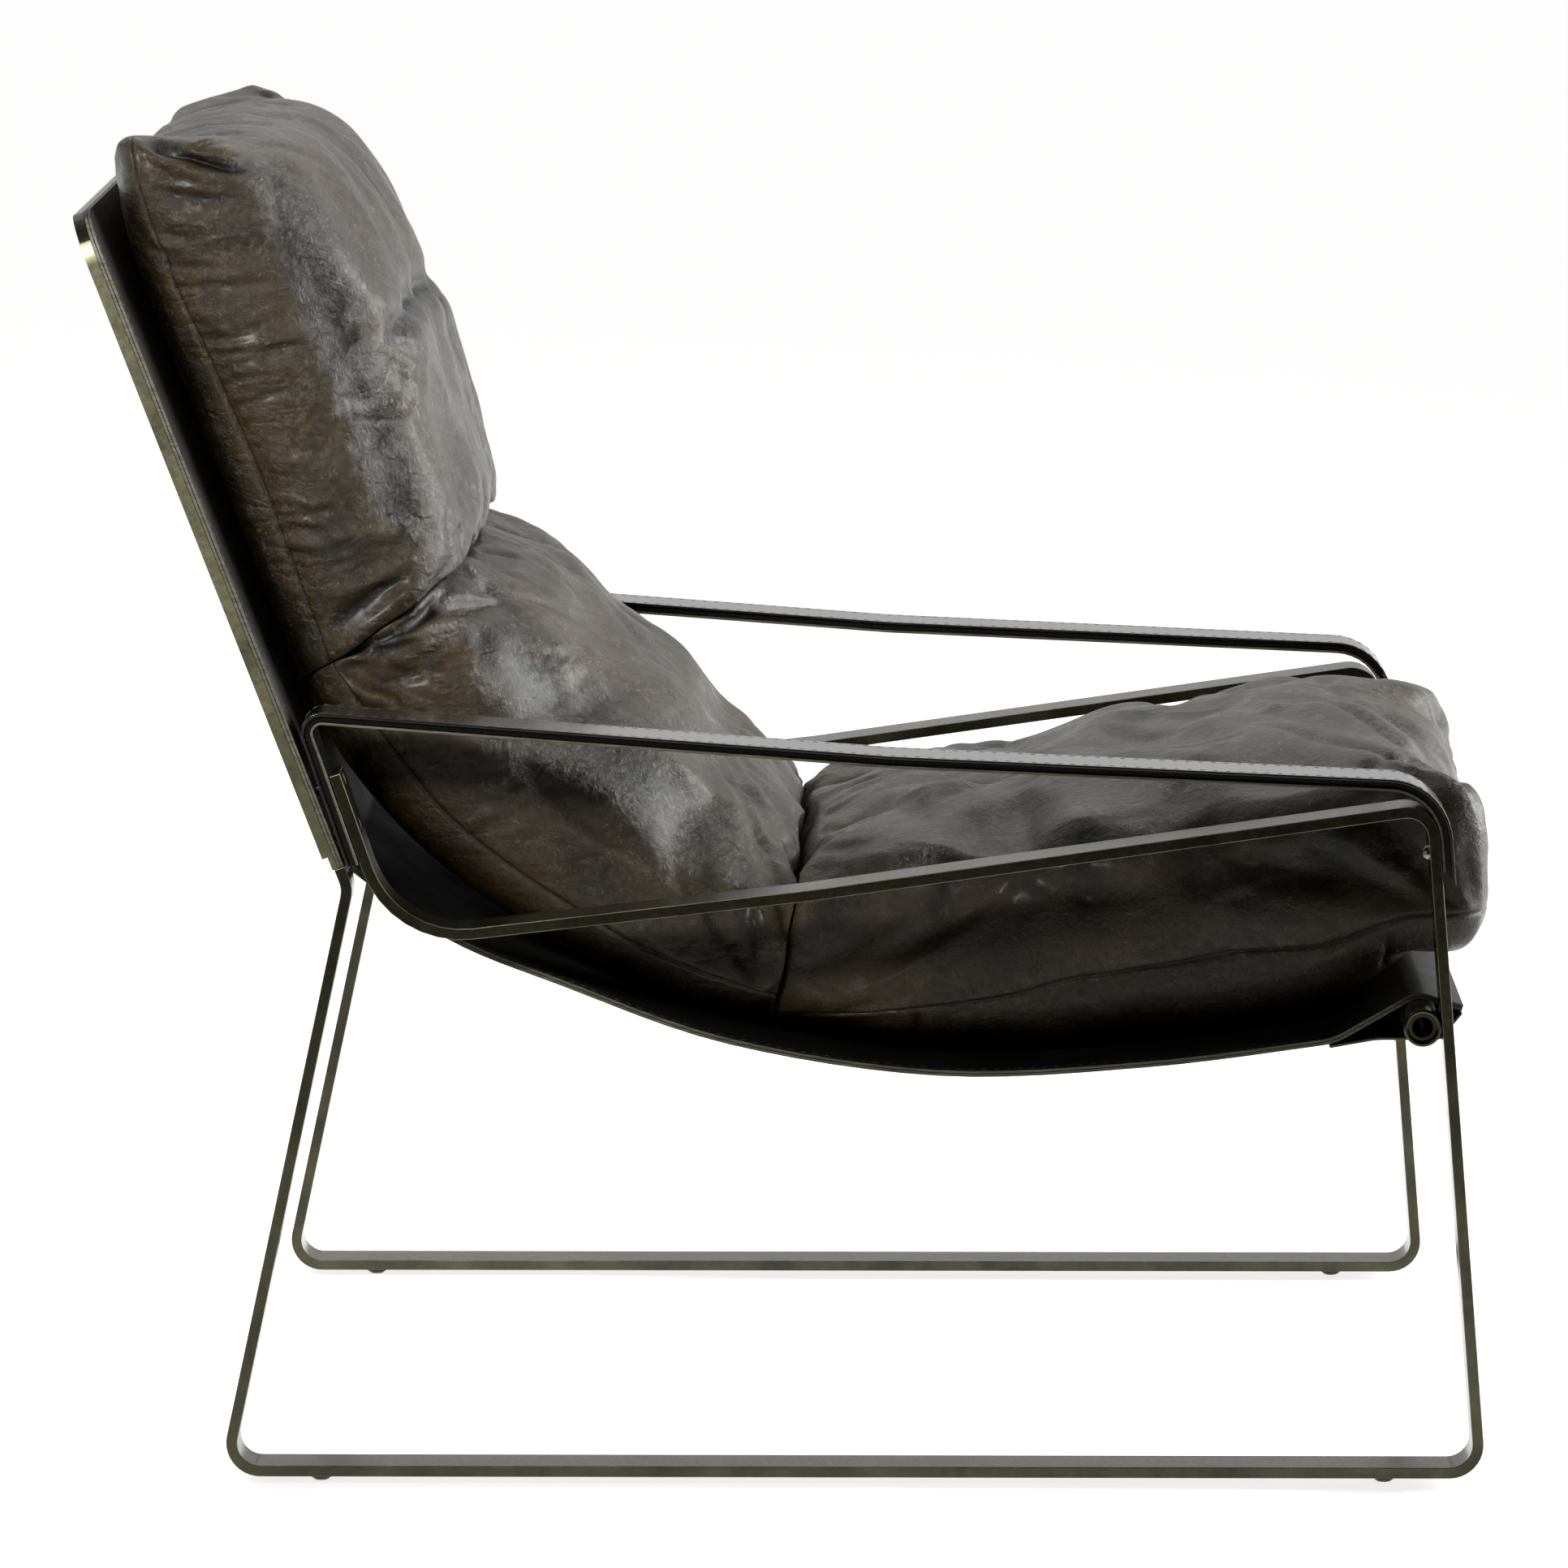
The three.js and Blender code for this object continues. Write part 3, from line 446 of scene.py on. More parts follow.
# Cushions: rear and front lines in side view, in millimetres from head to foot; the near side is the one photographed
upperBack = {
    "rear": [(-433, 826), (-430.5, 805), (-422.5, 776.7), (-399.2, 713.8), (-363.2, 620), (-313.5, 491)],
    "front": [(-353, 849), (-321, 844), (-298.5, 829), (-265.5, 786), (-247.5, 744), (-233.5, 703), (-218.5, 660),
              (-203.5, 616), (-195, 586), (-197, 564)],
    "half": 280, "grid": (84, 70, 40), "seam": (0.23, 0.17, 0.19, 0.21, 0.21, 0.2), "fill": 0.75, "seed": 3,
    "sideRound": (3.1, 6), "nearRound": 4.4, "headRound": (6, 8), "footRound": (16, 30), "cornerRound": (26, 30),
    "sideFall": 0.18, "nearFall": 0.08, "creaseHead": None, "creaseFoot": ((-316, 497.2), (-196, 579))}
lowerBack = {
    "rear": [(-318, 501), (-285.5, 440), (-235.8, 383.8), (-168.9, 333.8), (-92.5, 299.4), (-6, 274.5)],
    "front": [(-206, 578), (-184, 557), (-157, 548), (-144, 531), (-131, 509), (-111, 495), (-89.5, 482.5),
              (-73, 468), (-62.5, 449), (-52, 428), (-33, 420), (-19.5, 410), (14, 384)],
    "half": 280, "grid": (80, 70, 36), "seam": (0.25, 0.22), "fill": 0.75, "seed": 7,
    "sideRound": (3.2, 6), "nearRound": 3.2, "headRound": (16, 30), "footRound": (16, 30), "cornerRound": (30, 30),
    "sideFall": 0.16, "nearFall": 0.16, "creaseHead": ((-315.4, 496.3), (-195.4, 578.1)),
    "creaseFoot": ((-12, 275.4), (8, 390))}
seat = {
    "rear": [(-15, 275.9), (66, 263.3), (142.1, 260.5), (218.2, 265.7), (294, 274.5), (340, 281.4), (370, 297),
             (394, 310), (420, 311.5), (447, 313)],
    "front": [(2, 383), (18, 388), (50, 392), (110, 395), (148, 397), (182, 411), (225, 420), (264, 423),
              (300, 434), (345, 445), (395, 449), (447, 446)],
    "half": 274, "grid": (88, 82, 32), "seam": (0.08, 0.23, 0.33, 0.36, 0.31, 0.31), "fill": 0.7, "seed": 12,
    "sideRound": (3, 6), "nearRound": 7.5, "headRound": (16, 30), "footRound": (5, 5), "cornerRound": (30, 18),
    "sideFall": 0.05, "nearFall": 0.03, "creaseHead": ((-10.7, 275.2), (9.3, 389.8)), "creaseFoot": None}
stuffing = {"frames": 20, "pressure": 4.0, "slackSide": 0.075, "slackFront": 0.022, "cap": 16, "tension": 18,
            "bend": 0.6, "quality": 6, "mass": 0.2, "slackEdge": 6, "rearHold": 8, "seamHold": 0.7,
            "swellKept": 0.3, "wrinkleGain": 1.2, "evenings": 60}
seamRows = {"close": 1.6, "wide": 5, "least": 3}
outline = {"points": 200, "fallPower": 2.5}


def blankPad(spec):  # a cube cut into an even grid of squares
    bm = bmesh.new()
    bmesh.ops.create_cube(bm, size=2)
    for axis, count in enumerate(spec["grid"]):
        edges = [e for e in bm.edges if abs(e.verts[0].co[axis] - e.verts[1].co[axis]) > 0.5]
        bmesh.ops.subdivide_edges(bm, edges=edges, cuts=count - 1, use_grid_fill=True)
    return bm


def roundPair(first, second, power):  # rounds the corners of nested squares
    size = np.maximum(np.abs(first), np.abs(second))
    norm = (np.abs(first) ** power + np.abs(second) ** power) ** (1 / power)
    factor = np.divide(size, norm, out=np.ones_like(size), where=norm > 1e-9)
    return first * factor, second * factor


def gatherRows(spec, along, deep):  # draws five rows of the grid together beside the side seam
    step = 2 / spec["grid"][2]
    share = np.interp(along, np.linspace(-1, 1, len(spec["seam"])), spec["seam"])
    middle = -1 + step * max(seamRows["least"], round(np.mean(spec["seam"]) * spec["grid"][2]))
    target = 2 * share - 1
    thick = np.linalg.norm(np.array(spec["front"]).mean(axis=0) - np.array(spec["rear"]).mean(axis=0))
    close, wide = (2 * seamRows[key] / thick for key in ("close", "wide"))
    rank = (deep - middle) / step
    beside = target + np.sign(rank) * np.interp(np.abs(rank), (0, 1, 2), (0, close, wide))
    behind = -1 + (deep + 1) * (target - wide + 1) / (middle - 2 * step + 1)
    ahead = 1 - (1 - deep) * (1 - target - wide) / (1 - middle - 2 * step)
    return np.where(np.abs(rank) <= 2, beside, np.where(rank < 0, behind, ahead)), rank


def padShape(spec, cube):  # cube corners to the crowned form between the rear and front lines
    along, across, deep = cube.T.copy()
    deep, rank = gatherRows(spec, along, deep)
    isFront = deep > 0
    isFoot = along > 0
    sideRound = np.where(across < 0, spec["nearRound"], spec["sideRound"][0])
    across, deep = roundPair(across, deep, np.where(isFront, sideRound, spec["sideRound"][1]))
    ends = np.where(isFoot, np.where(isFront, *spec["footRound"]), np.where(isFront, *spec["headRound"]))
    along, deep = roundPair(along, deep, ends)
    along, across = roundPair(along, across, np.where(isFoot, spec["cornerRound"][1], spec["cornerRound"][0]))
    rear = smoothPath(spec["rear"], outline["points"])
    front = smoothPath(spec["front"], outline["points"])
    at = (along + 1) / 2
    steps = np.linspace(0, 1, outline["points"])
    rearPoint = np.stack([np.interp(at, steps, rear[:, k]) for k in (0, 1)], axis=1)
    frontPoint = np.stack([np.interp(at, steps, front[:, k]) for k in (0, 1)], axis=1)
    share = (deep + 1) / 2
    fall = np.where(across < 0, spec["nearFall"], spec["sideFall"])
    share = share * (1 - fall * np.abs(across) ** outline["fallPower"] * share)
    flat = rearPoint + (frontPoint - rearPoint) * share[:, None]
    shape = np.stack([flat[:, 0], across * spec["half"], flat[:, 1]], axis=1) * mm
    depth = share * np.linalg.norm(frontPoint - rearPoint, axis=1)
    return shape, along, across, depth, rank


def keepBehind(shape, line, sign):  # holds points on their own side of a crease plane
    start, end = (np.array(point) * mm for point in line)
    run = (end - start) / np.linalg.norm(end - start)
    normal = sign * np.array([-run[1], run[0]])
    over = (shape[:, [0, 2]] - start) @ normal
    push = np.clip(over, 0, None)
    shape[:, [0, 2]] -= push[:, None] * normal
    return shape


wander = {"reach": 24, "lift": 2.2, "size": 70, "seed": 21, "start": 50}


def creaseWave(points, line):  # lets a crease wander, alike for both its neighbours
    start, end = (np.array(point) * mm for point in line)
    run = (end - start) / np.linalg.norm(end - start)
    normal = np.array([-run[1], run[0]])
    along = (points[:, [0, 2]] - start) @ run
    off = (points[:, [0, 2]] - start) @ normal
    spots = np.stack([along, points[:, 1], 0 * along], axis=1)
    wave = unevenness(spots, wander["size"], np.random.default_rng(wander["seed"]))
    fade = np.exp(-(off / (wander["reach"] * mm)) ** 2) * np.clip(along / (wander["start"] * mm), 0, 1)
    push = wander["lift"] * mm * wave * fade
    points[:, [0, 2]] += push[:, None] * normal
    return points


def inflate(piece, pinned, across):  # pressure and slack along the seams swell the case between them
    mesh = piece.data
    rest = np.empty(len(mesh.vertices) * 3)
    mesh.vertices.foreach_get("co", rest)
    points = rest.reshape(-1, 3)
    lengthwise = np.linalg.svd(points[:, [0, 2]] - points[:, [0, 2]].mean(axis=0), full_matrices=False)[2][0]
    run = (points[:, [0, 2]] - points[:, [0, 2]].mean(axis=0)) @ lengthwise
    atSide = np.abs(across) ** stuffing["slackEdge"]
    slack = stuffing["slackFront"] + (stuffing["slackSide"] - stuffing["slackFront"]) * atSide
    loose = points.copy()
    loose[:, [0, 2]] += (run * slack)[:, None] * lengthwise
    piece.shape_key_add(name="start")
    looseKey = piece.shape_key_add(name="loose")
    looseKey.data.foreach_set("co", loose.ravel())
    group = piece.vertex_groups.new(name="held")
    for index in np.flatnonzero(pinned > 0):
        group.add([int(index)], float(pinned[index]), "REPLACE")
    cloth = piece.modifiers.new("stuffing", "CLOTH")
    settings = cloth.settings
    settings.quality = stuffing["quality"]
    settings.mass = stuffing["mass"]
    settings.tension_stiffness = settings.compression_stiffness = stuffing["tension"]
    settings.shear_stiffness = stuffing["tension"] / 2
    settings.bending_stiffness = stuffing["bend"]
    settings.use_pressure = True
    settings.uniform_pressure_force = stuffing["pressure"]
    settings.rest_shape_key = looseKey
    settings.vertex_group_mass = group.name
    settings.pin_stiffness = 1
    settings.effector_weights.gravity = 0
    cloth.collision_settings.use_collision = False
    scene = bpy.context.scene
    for number in range(1, stuffing["frames"] + 1):
        scene.frame_set(number)
    evaluated = piece.evaluated_get(bpy.context.evaluated_depsgraph_get())
    moved = np.empty_like(rest)
    evaluated.data.vertices.foreach_get("co", moved)
    piece.modifiers.remove(cloth)
    piece.vertex_groups.remove(group)
    piece.shape_key_clear()
    scene.frame_set(1)
    rest = rest.reshape(-1, 3)
    step = moved.reshape(-1, 3) - rest
    swell = evenOut(mesh, step, stuffing["evenings"])
    step = stuffing["swellKept"] * swell + stuffing["wrinkleGain"] * (step - swell)
    length = np.linalg.norm(step, axis=1)
    cap = stuffing["cap"] * mm
    print("  swell in mm, mean and most:", round(length.mean() / mm, 1), round(length.max() / mm, 1))
    return rest + step * np.minimum(1, cap / np.maximum(length, 1e-9))[:, None]


def evenOut(mesh, values, rounds):  # averages a value per vertex with its neighbours
    edges = np.empty(len(mesh.edges) * 2, int)
    mesh.edges.foreach_get("vertices", edges)
    first, second = edges.reshape(-1, 2).T
    count = np.bincount(edges, minlength=len(values))[:, None]
    for _ in range(rounds):
        total = np.zeros_like(values)
        np.add.at(total, first, values[second])
        np.add.at(total, second, values[first])
        values = 0.5 * values + 0.5 * total / count
    return values


foldLine = {"points": 9, "reach": 3, "taper": 0.22}


def pressFolds(at, folds):  # height in mm of ridges and valleys drawn as lines on a panel
    height = np.zeros(len(at))
    for line, width, lift in folds:
        drawn = smoothPath(line, foldLine["points"])
        margin = foldLine["reach"] * width
        near = np.all((at > drawn.min(axis=0) - margin) & (at < drawn.max(axis=0) + margin), axis=1)
        spot = at[near]
        gap = np.full(len(spot), np.inf)
        along = np.zeros(len(spot))
        for i, (begin, end) in enumerate(zip(drawn[:-1], drawn[1:])):
            way = end - begin
            t = np.clip((spot - begin) @ way / (way @ way), 0, 1)
            distance = np.linalg.norm(spot - begin - t[:, None] * way, axis=1)
            closer = distance < gap
            gap = np.where(closer, distance, gap)
            along = np.where(closer, (i + t) / (foldLine["points"] - 1), along)
        taper = np.clip(np.minimum(along, 1 - along) / foldLine["taper"], 0, 1)
        height[near] += lift * np.exp(-(gap / width) ** 2) * taper
    return height


puckers = {"points": 60, "ends": (0.03, 0.97), "starts": (0.03, 0.03, 0.12, 0.25), "farthest": 0.88, "ahead": 0.05,
           "lean": (-0.24, -0.04), "bow": 5, "pairGap": 1.5, "pairWidth": 0.8, "behind": (0.04, 0.06, 0.13),
           "behindWidth": 4.5, "behindLift": 0.8}


def seamPuckers(spec, chance):  # short ridges and valleys that run forward from the side seam
    rear = smoothPath(spec["rear"], puckers["points"])
    front = smoothPath(spec["front"], puckers["points"])
    style = spec["pucker"]
    length = np.linalg.norm(np.diff(rear, axis=0), axis=1).sum()
    folds = []
    at, last = puckers["ends"]
    while at < last:
        i = int(at * (puckers["points"] - 1))
        deep = (front[i] - rear[i]) * (1 - spec["sideFall"])
        share = np.interp(at, np.linspace(0, 1, len(spec["seam"])), spec["seam"])
        begin = share + chance.choice(puckers["starts"])
        end = min(begin + chance.uniform(*style["reach"]), puckers["farthest"])
        lean = np.array([puckers["ahead"], chance.uniform(*puckers["lean"])]) * np.linalg.norm(deep)
        ends = rear[i] + deep * begin, rear[i] + deep * end + lean
        middle = (ends[0] + ends[1]) / 2 + [0, chance.uniform(-puckers["bow"], puckers["bow"])]
        lift = chance.uniform(*style["lift"])
        width = chance.uniform(*style["width"])
        below = np.array([0, -puckers["pairGap"] * width])
        folds.append(([ends[0], middle, ends[1]], width, lift))
        folds.append(([ends[0] + below, middle + below, ends[1] + below], puckers["pairWidth"] * width, -lift))
        inset, half, full = puckers["behind"]
        back = rear[i] + deep * (share - inset)
        folds.append(([back, back - deep * half, back - deep * full], puckers["behindWidth"],
                      puckers["behindLift"] * lift))
        at += chance.uniform(*style["pitch"]) / length
    return folds


randomField = {"waves": 14, "spread": (0.7, 1.6), "level": 4}


def unevenness(points, size, chance):  # smooth random field between about -1 and 1
    field = np.zeros(len(points))
    for _ in range(randomField["waves"]):
        way = chance.normal(size=3)
        way *= 2 * math.pi / (size * mm * chance.uniform(*randomField["spread"]) * np.linalg.norm(way))
        field += np.cos(points @ way + chance.uniform(0, 2 * math.pi))
    return field / randomField["level"]


driftBow = (-0.12, 0.12)


def driftLines(chance, count, box, reach, lean, width, lift):  # soft wrinkles scattered over a panel
    folds = []
    for _ in range(count):
        begin = np.array([chance.uniform(*box[0]), chance.uniform(*box[1])])
        angle = math.radians(chance.uniform(*lean))
        way = np.array([math.cos(angle), math.sin(angle)]) * chance.uniform(*reach)
        bow = np.array([-way[1], way[0]]) * chance.uniform(*driftBow)
        folds.append(([begin, begin + way / 2 + bow, begin + way], chance.uniform(*width),
                      chance.choice((-1, 1)) * chance.uniform(*lift)))
    return folds


def makePad(name, node, spec):
    bm = blankPad(spec)
    piece = addPiece(name, bm, [cushionFinish], [node])
    mesh = piece.data
    cube = np.empty(len(mesh.vertices) * 3)
    mesh.vertices.foreach_get("co", cube)
    cube = cube.reshape(-1, 3)
    shape, along, across, depth, rank = padShape(spec, cube)
    mesh.vertices.foreach_set("co", shape.ravel())
    mesh.update()
    onRear = np.clip(1 - depth / stuffing["rearHold"], 0, 1)
    onSeam = (np.abs(rank) < 0.5) & (np.abs(across) > stuffing["seamHold"])
    shape = inflate(piece, np.maximum(onRear, onSeam.astype(float)), across)
    mesh.vertices.foreach_set("co", shape.ravel())
    for label, values in (("end", cube[:, 0]), ("side", cube[:, 1]), ("face", cube[:, 2]), ("rank", rank)):
        mesh.attributes.new(label, "FLOAT", "POINT").data.foreach_set("value", values)
    mesh.update()
    refineHide(piece, spec)
    return piece


# Where each panel of the case begins on the starting cube, and over what share it fades in
zones = {"side": (0.93, 0.07), "front": (0.8, 0.2), "head": (0.9, 0.1), "toe": (0.92, 0.08), "foot": (0.94, 0.06),
         "edge": (0.6, 0.3), "edgeFace": (-0.2, 0.4)}
hide = {"patch": (0.8, 0.5, 60), "patchRange": (0.2, 1.4), "lumpSize": 95, "sideLumps": 0.4, "sideShare": 0.5,
        "grooveRows": 0.55, "shadowRows": (1, 4), "shadeDepth": 4, "runPoints": 60}


def zone(name, values):
    begin, fade = zones[name]
    return np.clip((values - begin) / fade, 0, 1)


def refineHide(piece, spec):  # splits the case finer, then presses in its seams and folds
    soften = piece.modifiers.new("soften", "SUBSURF")
    soften.levels = soften.render_levels = 1
    fine = bpy.data.meshes.new_from_object(piece.evaluated_get(bpy.context.evaluated_depsgraph_get()))
    piece.modifiers.remove(soften)
    piece.data = fine
    read = {}
    for label in ("end", "side", "face", "rank"):
        read[label] = np.empty(len(fine.vertices))
        fine.attributes[label].data.foreach_get("value", read[label])
        fine.attributes.remove(fine.attributes[label])
    points = np.empty(len(fine.vertices) * 3)
    normals = np.empty(len(fine.vertices) * 3)
    fine.vertices.foreach_get("co", points)
    fine.vertex_normals.foreach_get("vector", normals)
    points, normals = points.reshape(-1, 3), normals.reshape(-1, 3)
    place = points / mm
    frontLength = np.linalg.norm(np.diff(smoothPath(spec["front"], hide["runPoints"]), axis=0), axis=1).sum()
    run = (read["end"] + 1) / 2 * frontLength
    onSide = zone("side", np.abs(read["side"]))
    onFront = zone("front", read["face"]) * (1 - onSide * hide["sideShare"])
    onHead = zone("head", -read["end"])
    onToe = zone("toe", read["end"]) * (1 - onSide * hide["sideShare"])
    chance = np.random.default_rng(spec["seed"])
    height = np.zeros(len(points))
    level, vary, size = hide["patch"]
    patchy = np.clip(level + vary * unevenness(points, size, chance), *hide["patchRange"])
    for sign in (-1, 1):
        panel = onSide * (np.sign(read["side"]) == sign)
        height += panel * patchy * pressFolds(place[:, [0, 2]], seamPuckers(spec, chance))
        height += panel * pressFolds(place[:, [0, 2]], spec["sideFolds"])
    onEdge = zone("edge", np.abs(read["side"])) * zone("edgeFace", read["face"])
    height += onEdge * pressFolds(place[:, [0, 2]], spec["edgeFolds"])
    front = np.stack([run, place[:, 1]], axis=1)
    for drift in spec["frontDrift"]:
        height += onFront * patchy * pressFolds(front, driftLines(chance, *drift))
    height += onFront * patchy * pressFolds(front, spec["frontFolds"])
    height += onHead * pressFolds(place[:, [0, 1]], spec["headFolds"])
    height += onToe * pressFolds(place[:, [1, 2]], spec["toeFolds"])
    lumpy = np.maximum(onFront, hide["sideLumps"] * onSide)
    swell = spec["lumps"] * lumpy * unevenness(points, hide["lumpSize"], chance)
    for (spotRun, spotY), reach, lift in spec["puffs"]:
        swell += onFront * lift * np.exp(-((run - spotRun) ** 2 + (place[:, 1] - spotY) ** 2) / reach ** 2)
    onFoot = zone("foot", read["end"]) if spec["creaseFoot"] is None else 0
    height -= np.maximum(onSide, onFoot) * spec["groove"] * np.exp(-(read["rank"] / hide["grooveRows"]) ** 2)
    # painted shade stored per vertex: darker in fold valleys and on the strip behind the side seam, below zero on
    # ridges, read as pull-up wear
    begin, fade = hide["shadowRows"]
    shadeBehindSeam = spec["shadow"] * onSide * np.clip((-read["rank"] - begin) / fade, 0, 1)
    shade = np.maximum(np.clip(-height / hide["shadeDepth"], -1, 1), shadeBehindSeam)
    fine.attributes.new("crease_shade_ridge_wear", "FLOAT", "POINT").data.foreach_set("value", shade)
    fine.attributes.new("gathered", "FLOAT", "POINT").data.foreach_set("value", spec["gathered"] * onSide)
    points = points + normals * ((height + swell) * mm)[:, None]
    for corner, reach, pull in spec["ears"]:
        near = np.exp(-(np.linalg.norm(place - corner, axis=1) / reach) ** 2)
        points = points + near[:, None] * np.array(pull) * mm
    for line, sign in ((spec["creaseFoot"], -1), (spec["creaseHead"], 1)):
        if line:
            points = keepBehind(points, line, sign)
    for line in spec["waves"]:
        points = creaseWave(points, line)
    fine.vertices.foreach_set("co", points.ravel())
    fine.update()


firstCrease, secondCrease = upperBack["creaseFoot"], lowerBack["creaseFoot"]

# Folds drawn from the photo: (line, half width, lift) in millimetres; sides in X and Z, fronts in run and Y
upperBack.update({
    "pucker": {"pitch": (6, 13), "reach": (0.18, 0.6), "lift": (0.5, 1.5), "width": (2.6, 5.5)},
    "groove": 2.2, "lumps": 2.2, "gathered": 0.4, "shadow": 0.7, "toeFolds": [], "puffs": [], "waves": [firstCrease],
    "edgeFolds": [([(-322, 812), (-304, 776), (-283, 722), (-262, 668), (-244, 615), (-226, 575)], 13, -5)],
    "sideFolds": [([(-416, 836), (-397, 833.5), (-380, 834), (-358, 829.5), (-332, 826)], 4, -7),
                  ([(-416, 842), (-400, 846), (-377, 844.5), (-354, 839), (-337, 832)], 4.5, 3.2),
                  ([(-404, 822), (-384, 825), (-358, 820)], 5, 2.4), ([(-398, 806), (-372, 812), (-340, 806)], 5, -2),
                  ([(-292, 527), (-267, 541), (-248, 553), (-230, 566)], 4.5, 3),
                  ([(-296, 540), (-264, 557), (-236, 575)], 5, -3), ([(-290, 556), (-254, 572), (-224, 590)], 5, 2.2)],
    "frontFolds": [([(180, -262), (172, -120), (176, 30), (178, 160), (172, 270)], 9, -11),
                   ([(196, -262), (192, -100), (198, 60), (200, 200)], 14, 2.5)]
                  + [([(338, y), (324, y + 3), (reach, y + 8)], 5, -3.4)
                     for y, reach in ((-246, 296), (-226, 312), (-178, 290), (-140, 306), (-88, 300), (-61, 312),
                                      (-6, 294), (52, 306), (81, 298), (140, 310), (183, 292), (236, 304))],
    "frontDrift": [(14, ((5, 110), (-260, 260)), (90, 200), (-12, 12), (6, 11), (0.9, 2.2)),
                   (16, ((130, 300), (-260, 260)), (50, 130), (-35, 35), (6, 12), (0.8, 2))],
    "headFolds": [([(-425, y), (-390, y + 9), (-350, y + 2), (-310, y - 12)], 9, lift)
                  for y, lift in ((-205, -2), (-168, 1.5), (-128, -2.2), (-84, 1.4), (-38, -2), (26, 1.2), (70, -2.4),
                                  (128, 1.6), (176, -2))],
    "ears": [((-428, -268, 824), 30, (2, -4, 16)), ((-404, -252, 842), 28, (0, 0, 7)),
             ((-402, 150, 846), 60, (0, 0, -8)), ((-290, -264, 525), 34, (4, 0, -7)),
             ((-290, 264, 525), 34, (4, 0, -7))]})
lowerBack.update({
    "pucker": {"pitch": (9, 20), "reach": (0.12, 0.42), "lift": (0.5, 1.5), "width": (3, 6)}, "groove": 2.2, "lumps": 3,
    "gathered": 0.35, "shadow": 0.4, "toeFolds": [], "puffs": [], "waves": [firstCrease, secondCrease],
    "edgeFolds": [([(-214, 545), (-170, 508), (-120, 462), (-60, 408)], 12, -4)],
    "sideFolds": [([(-288, 512), (-256, 528), (-230, 543), (-212, 561)], 3.6, -5),
                  ([(-282, 518), (-250, 538), (-222, 555)], 4, 2.2),
                  ([(-276, 518), (-256, 520), (-234, 527)], 3.4, -3.4),
                  ([(-274, 506), (-246, 513), (-222, 529)], 5, 2.6), ([(-268, 494), (-238, 504), (-214, 524)], 5, -2.4),
                  ([(-30, 390), (-26, 345), (-30, 305)], 8, -3), ([(-58, 400), (-50, 360), (-46, 320)], 9, -2)],
    "frontFolds": [([(2, y), (20, y + 4), (reach, y + 9)], 6, -3)
                   for y, reach in ((-240, 60), (-196, 38), (-151, 66), (-96, 44), (-52, 72), (14, 46), (63, 58),
                                    (104, 40), (160, 70), (221, 48))]
                  + [([(276, y), (258, y + 5), (230, y + 8)], 7, -2.6) for y in (-228, -150, -81, 11, 96, 190)]
                  + [([(60, -250), (92, -200), (118, -140)], 12, 3.5),
                     ([(96, -262), (130, -215), (150, -160)], 12, -3)],
    "frontDrift": [(24, ((20, 240), (-260, 260)), (60, 150), (-70, 70), (7, 13), (1, 2.6))],
    "headFolds": [], "ears": [((-284, -264, 508), 34, (-4, 0, 7)), ((-284, 264, 508), 34, (-4, 0, 7))]})
seat.update({
    "pucker": {"pitch": (20, 42), "reach": (0.1, 0.28), "lift": (0.4, 1), "width": (4, 7)}, "groove": 2.2, "lumps": 4,
    "gathered": 0.12, "shadow": 0.3, "waves": [secondCrease], "edgeFolds": [],
    "toeFolds": [([(-232, 408), (-237, 388), (-234, 364)], 5, -5), ([(-252, 404), (-256, 380), (-252, 352)], 6, 2),
                 ([(-150, 436), (-143, 400), (-148, 362)], 9, -3), ([(-40, 438), (-48, 402), (-42, 350)], 10, -3),
                 ([(66, 436), (60, 396), (68, 352)], 9, -2.6), ([(170, 436), (176, 398), (168, 356)], 10, -3.4)],
    "puffs": [((236, 190), 46, 6), ((350, 170), 110, 5), ((170, 200), 60, 4), ((330, -120), 110, 3),
              ((160, -150), 90, 3)],
    "sideFolds": [([(x, 390 + x * 0.1), (x + 4, 366 + x * 0.1), (x - 2, low + x * 0.1)], 11, 1.5 * lift)
                  for x, low, lift in ((24, 340, -1.8), (58, 352, 1.2), (96, 336, -1.6), (142, 348, 1.4),
                                       (186, 330, -2), (220, 346, 1.4), (258, 335, -1.5), (300, 340, 1.2),
                                       (340, 332, -2), (384, 344, -1.4))]
                 + [([(381, 342), (381, 328), (380, 310)], 2.2, -2.5), ([(82, 292), (82, 278), (81, 262)], 2.2, -2.5)],
    "frontFolds": [([(300, 274), (277, 190), (246, 90), (222, 20)], 15, -13),
                   ([(447, -190), (426, -202), (396, -222), (368, -246)], 8, -8),
                   ([(140, 268), (126, 160), (104, 40), (98, -60)], 14, -5),
                   ([(258, 200), (290, 150), (330, 110)], 10, -3), ([(98, -48), (130, -80), (170, -100)], 9, -3),
                   ([(98, -48), (70, -90), (52, -140)], 9, -2.6), ([(206, 30), (230, -20), (262, -60)], 10, -2.6)]
                  + [([(4, y), (24, y + 4), (reach, y + 6)], 7, -2.8)
                     for y, reach in ((-232, 60), (-172, 44), (-118, 70), (-52, 48), (20, 62), (102, 52), (171, 66),
                                      (232, 50))],
    "frontDrift": [(32, ((20, 380), (-255, 255)), (50, 140), (-90, 90), (6, 12), (1.2, 2.8))],
    "headFolds": [],
    "ears": [((447, -130, 436), 72, (-17, 0, -5)), ((447, -30, 436), 60, (-8, 0, -2)),
             ((434, -248, 432), 38, (4, -2, 9)), ((440, 205, 428), 48, (6, 0, 1))]})
makePad("upper_back_pad", "upper_back_cushion", upperBack)
makePad("lower_back_pad", "lower_back_cushion", lowerBack)
makePad("seat_pad", "seat_cushion", seat)
print("cushions stuffed")


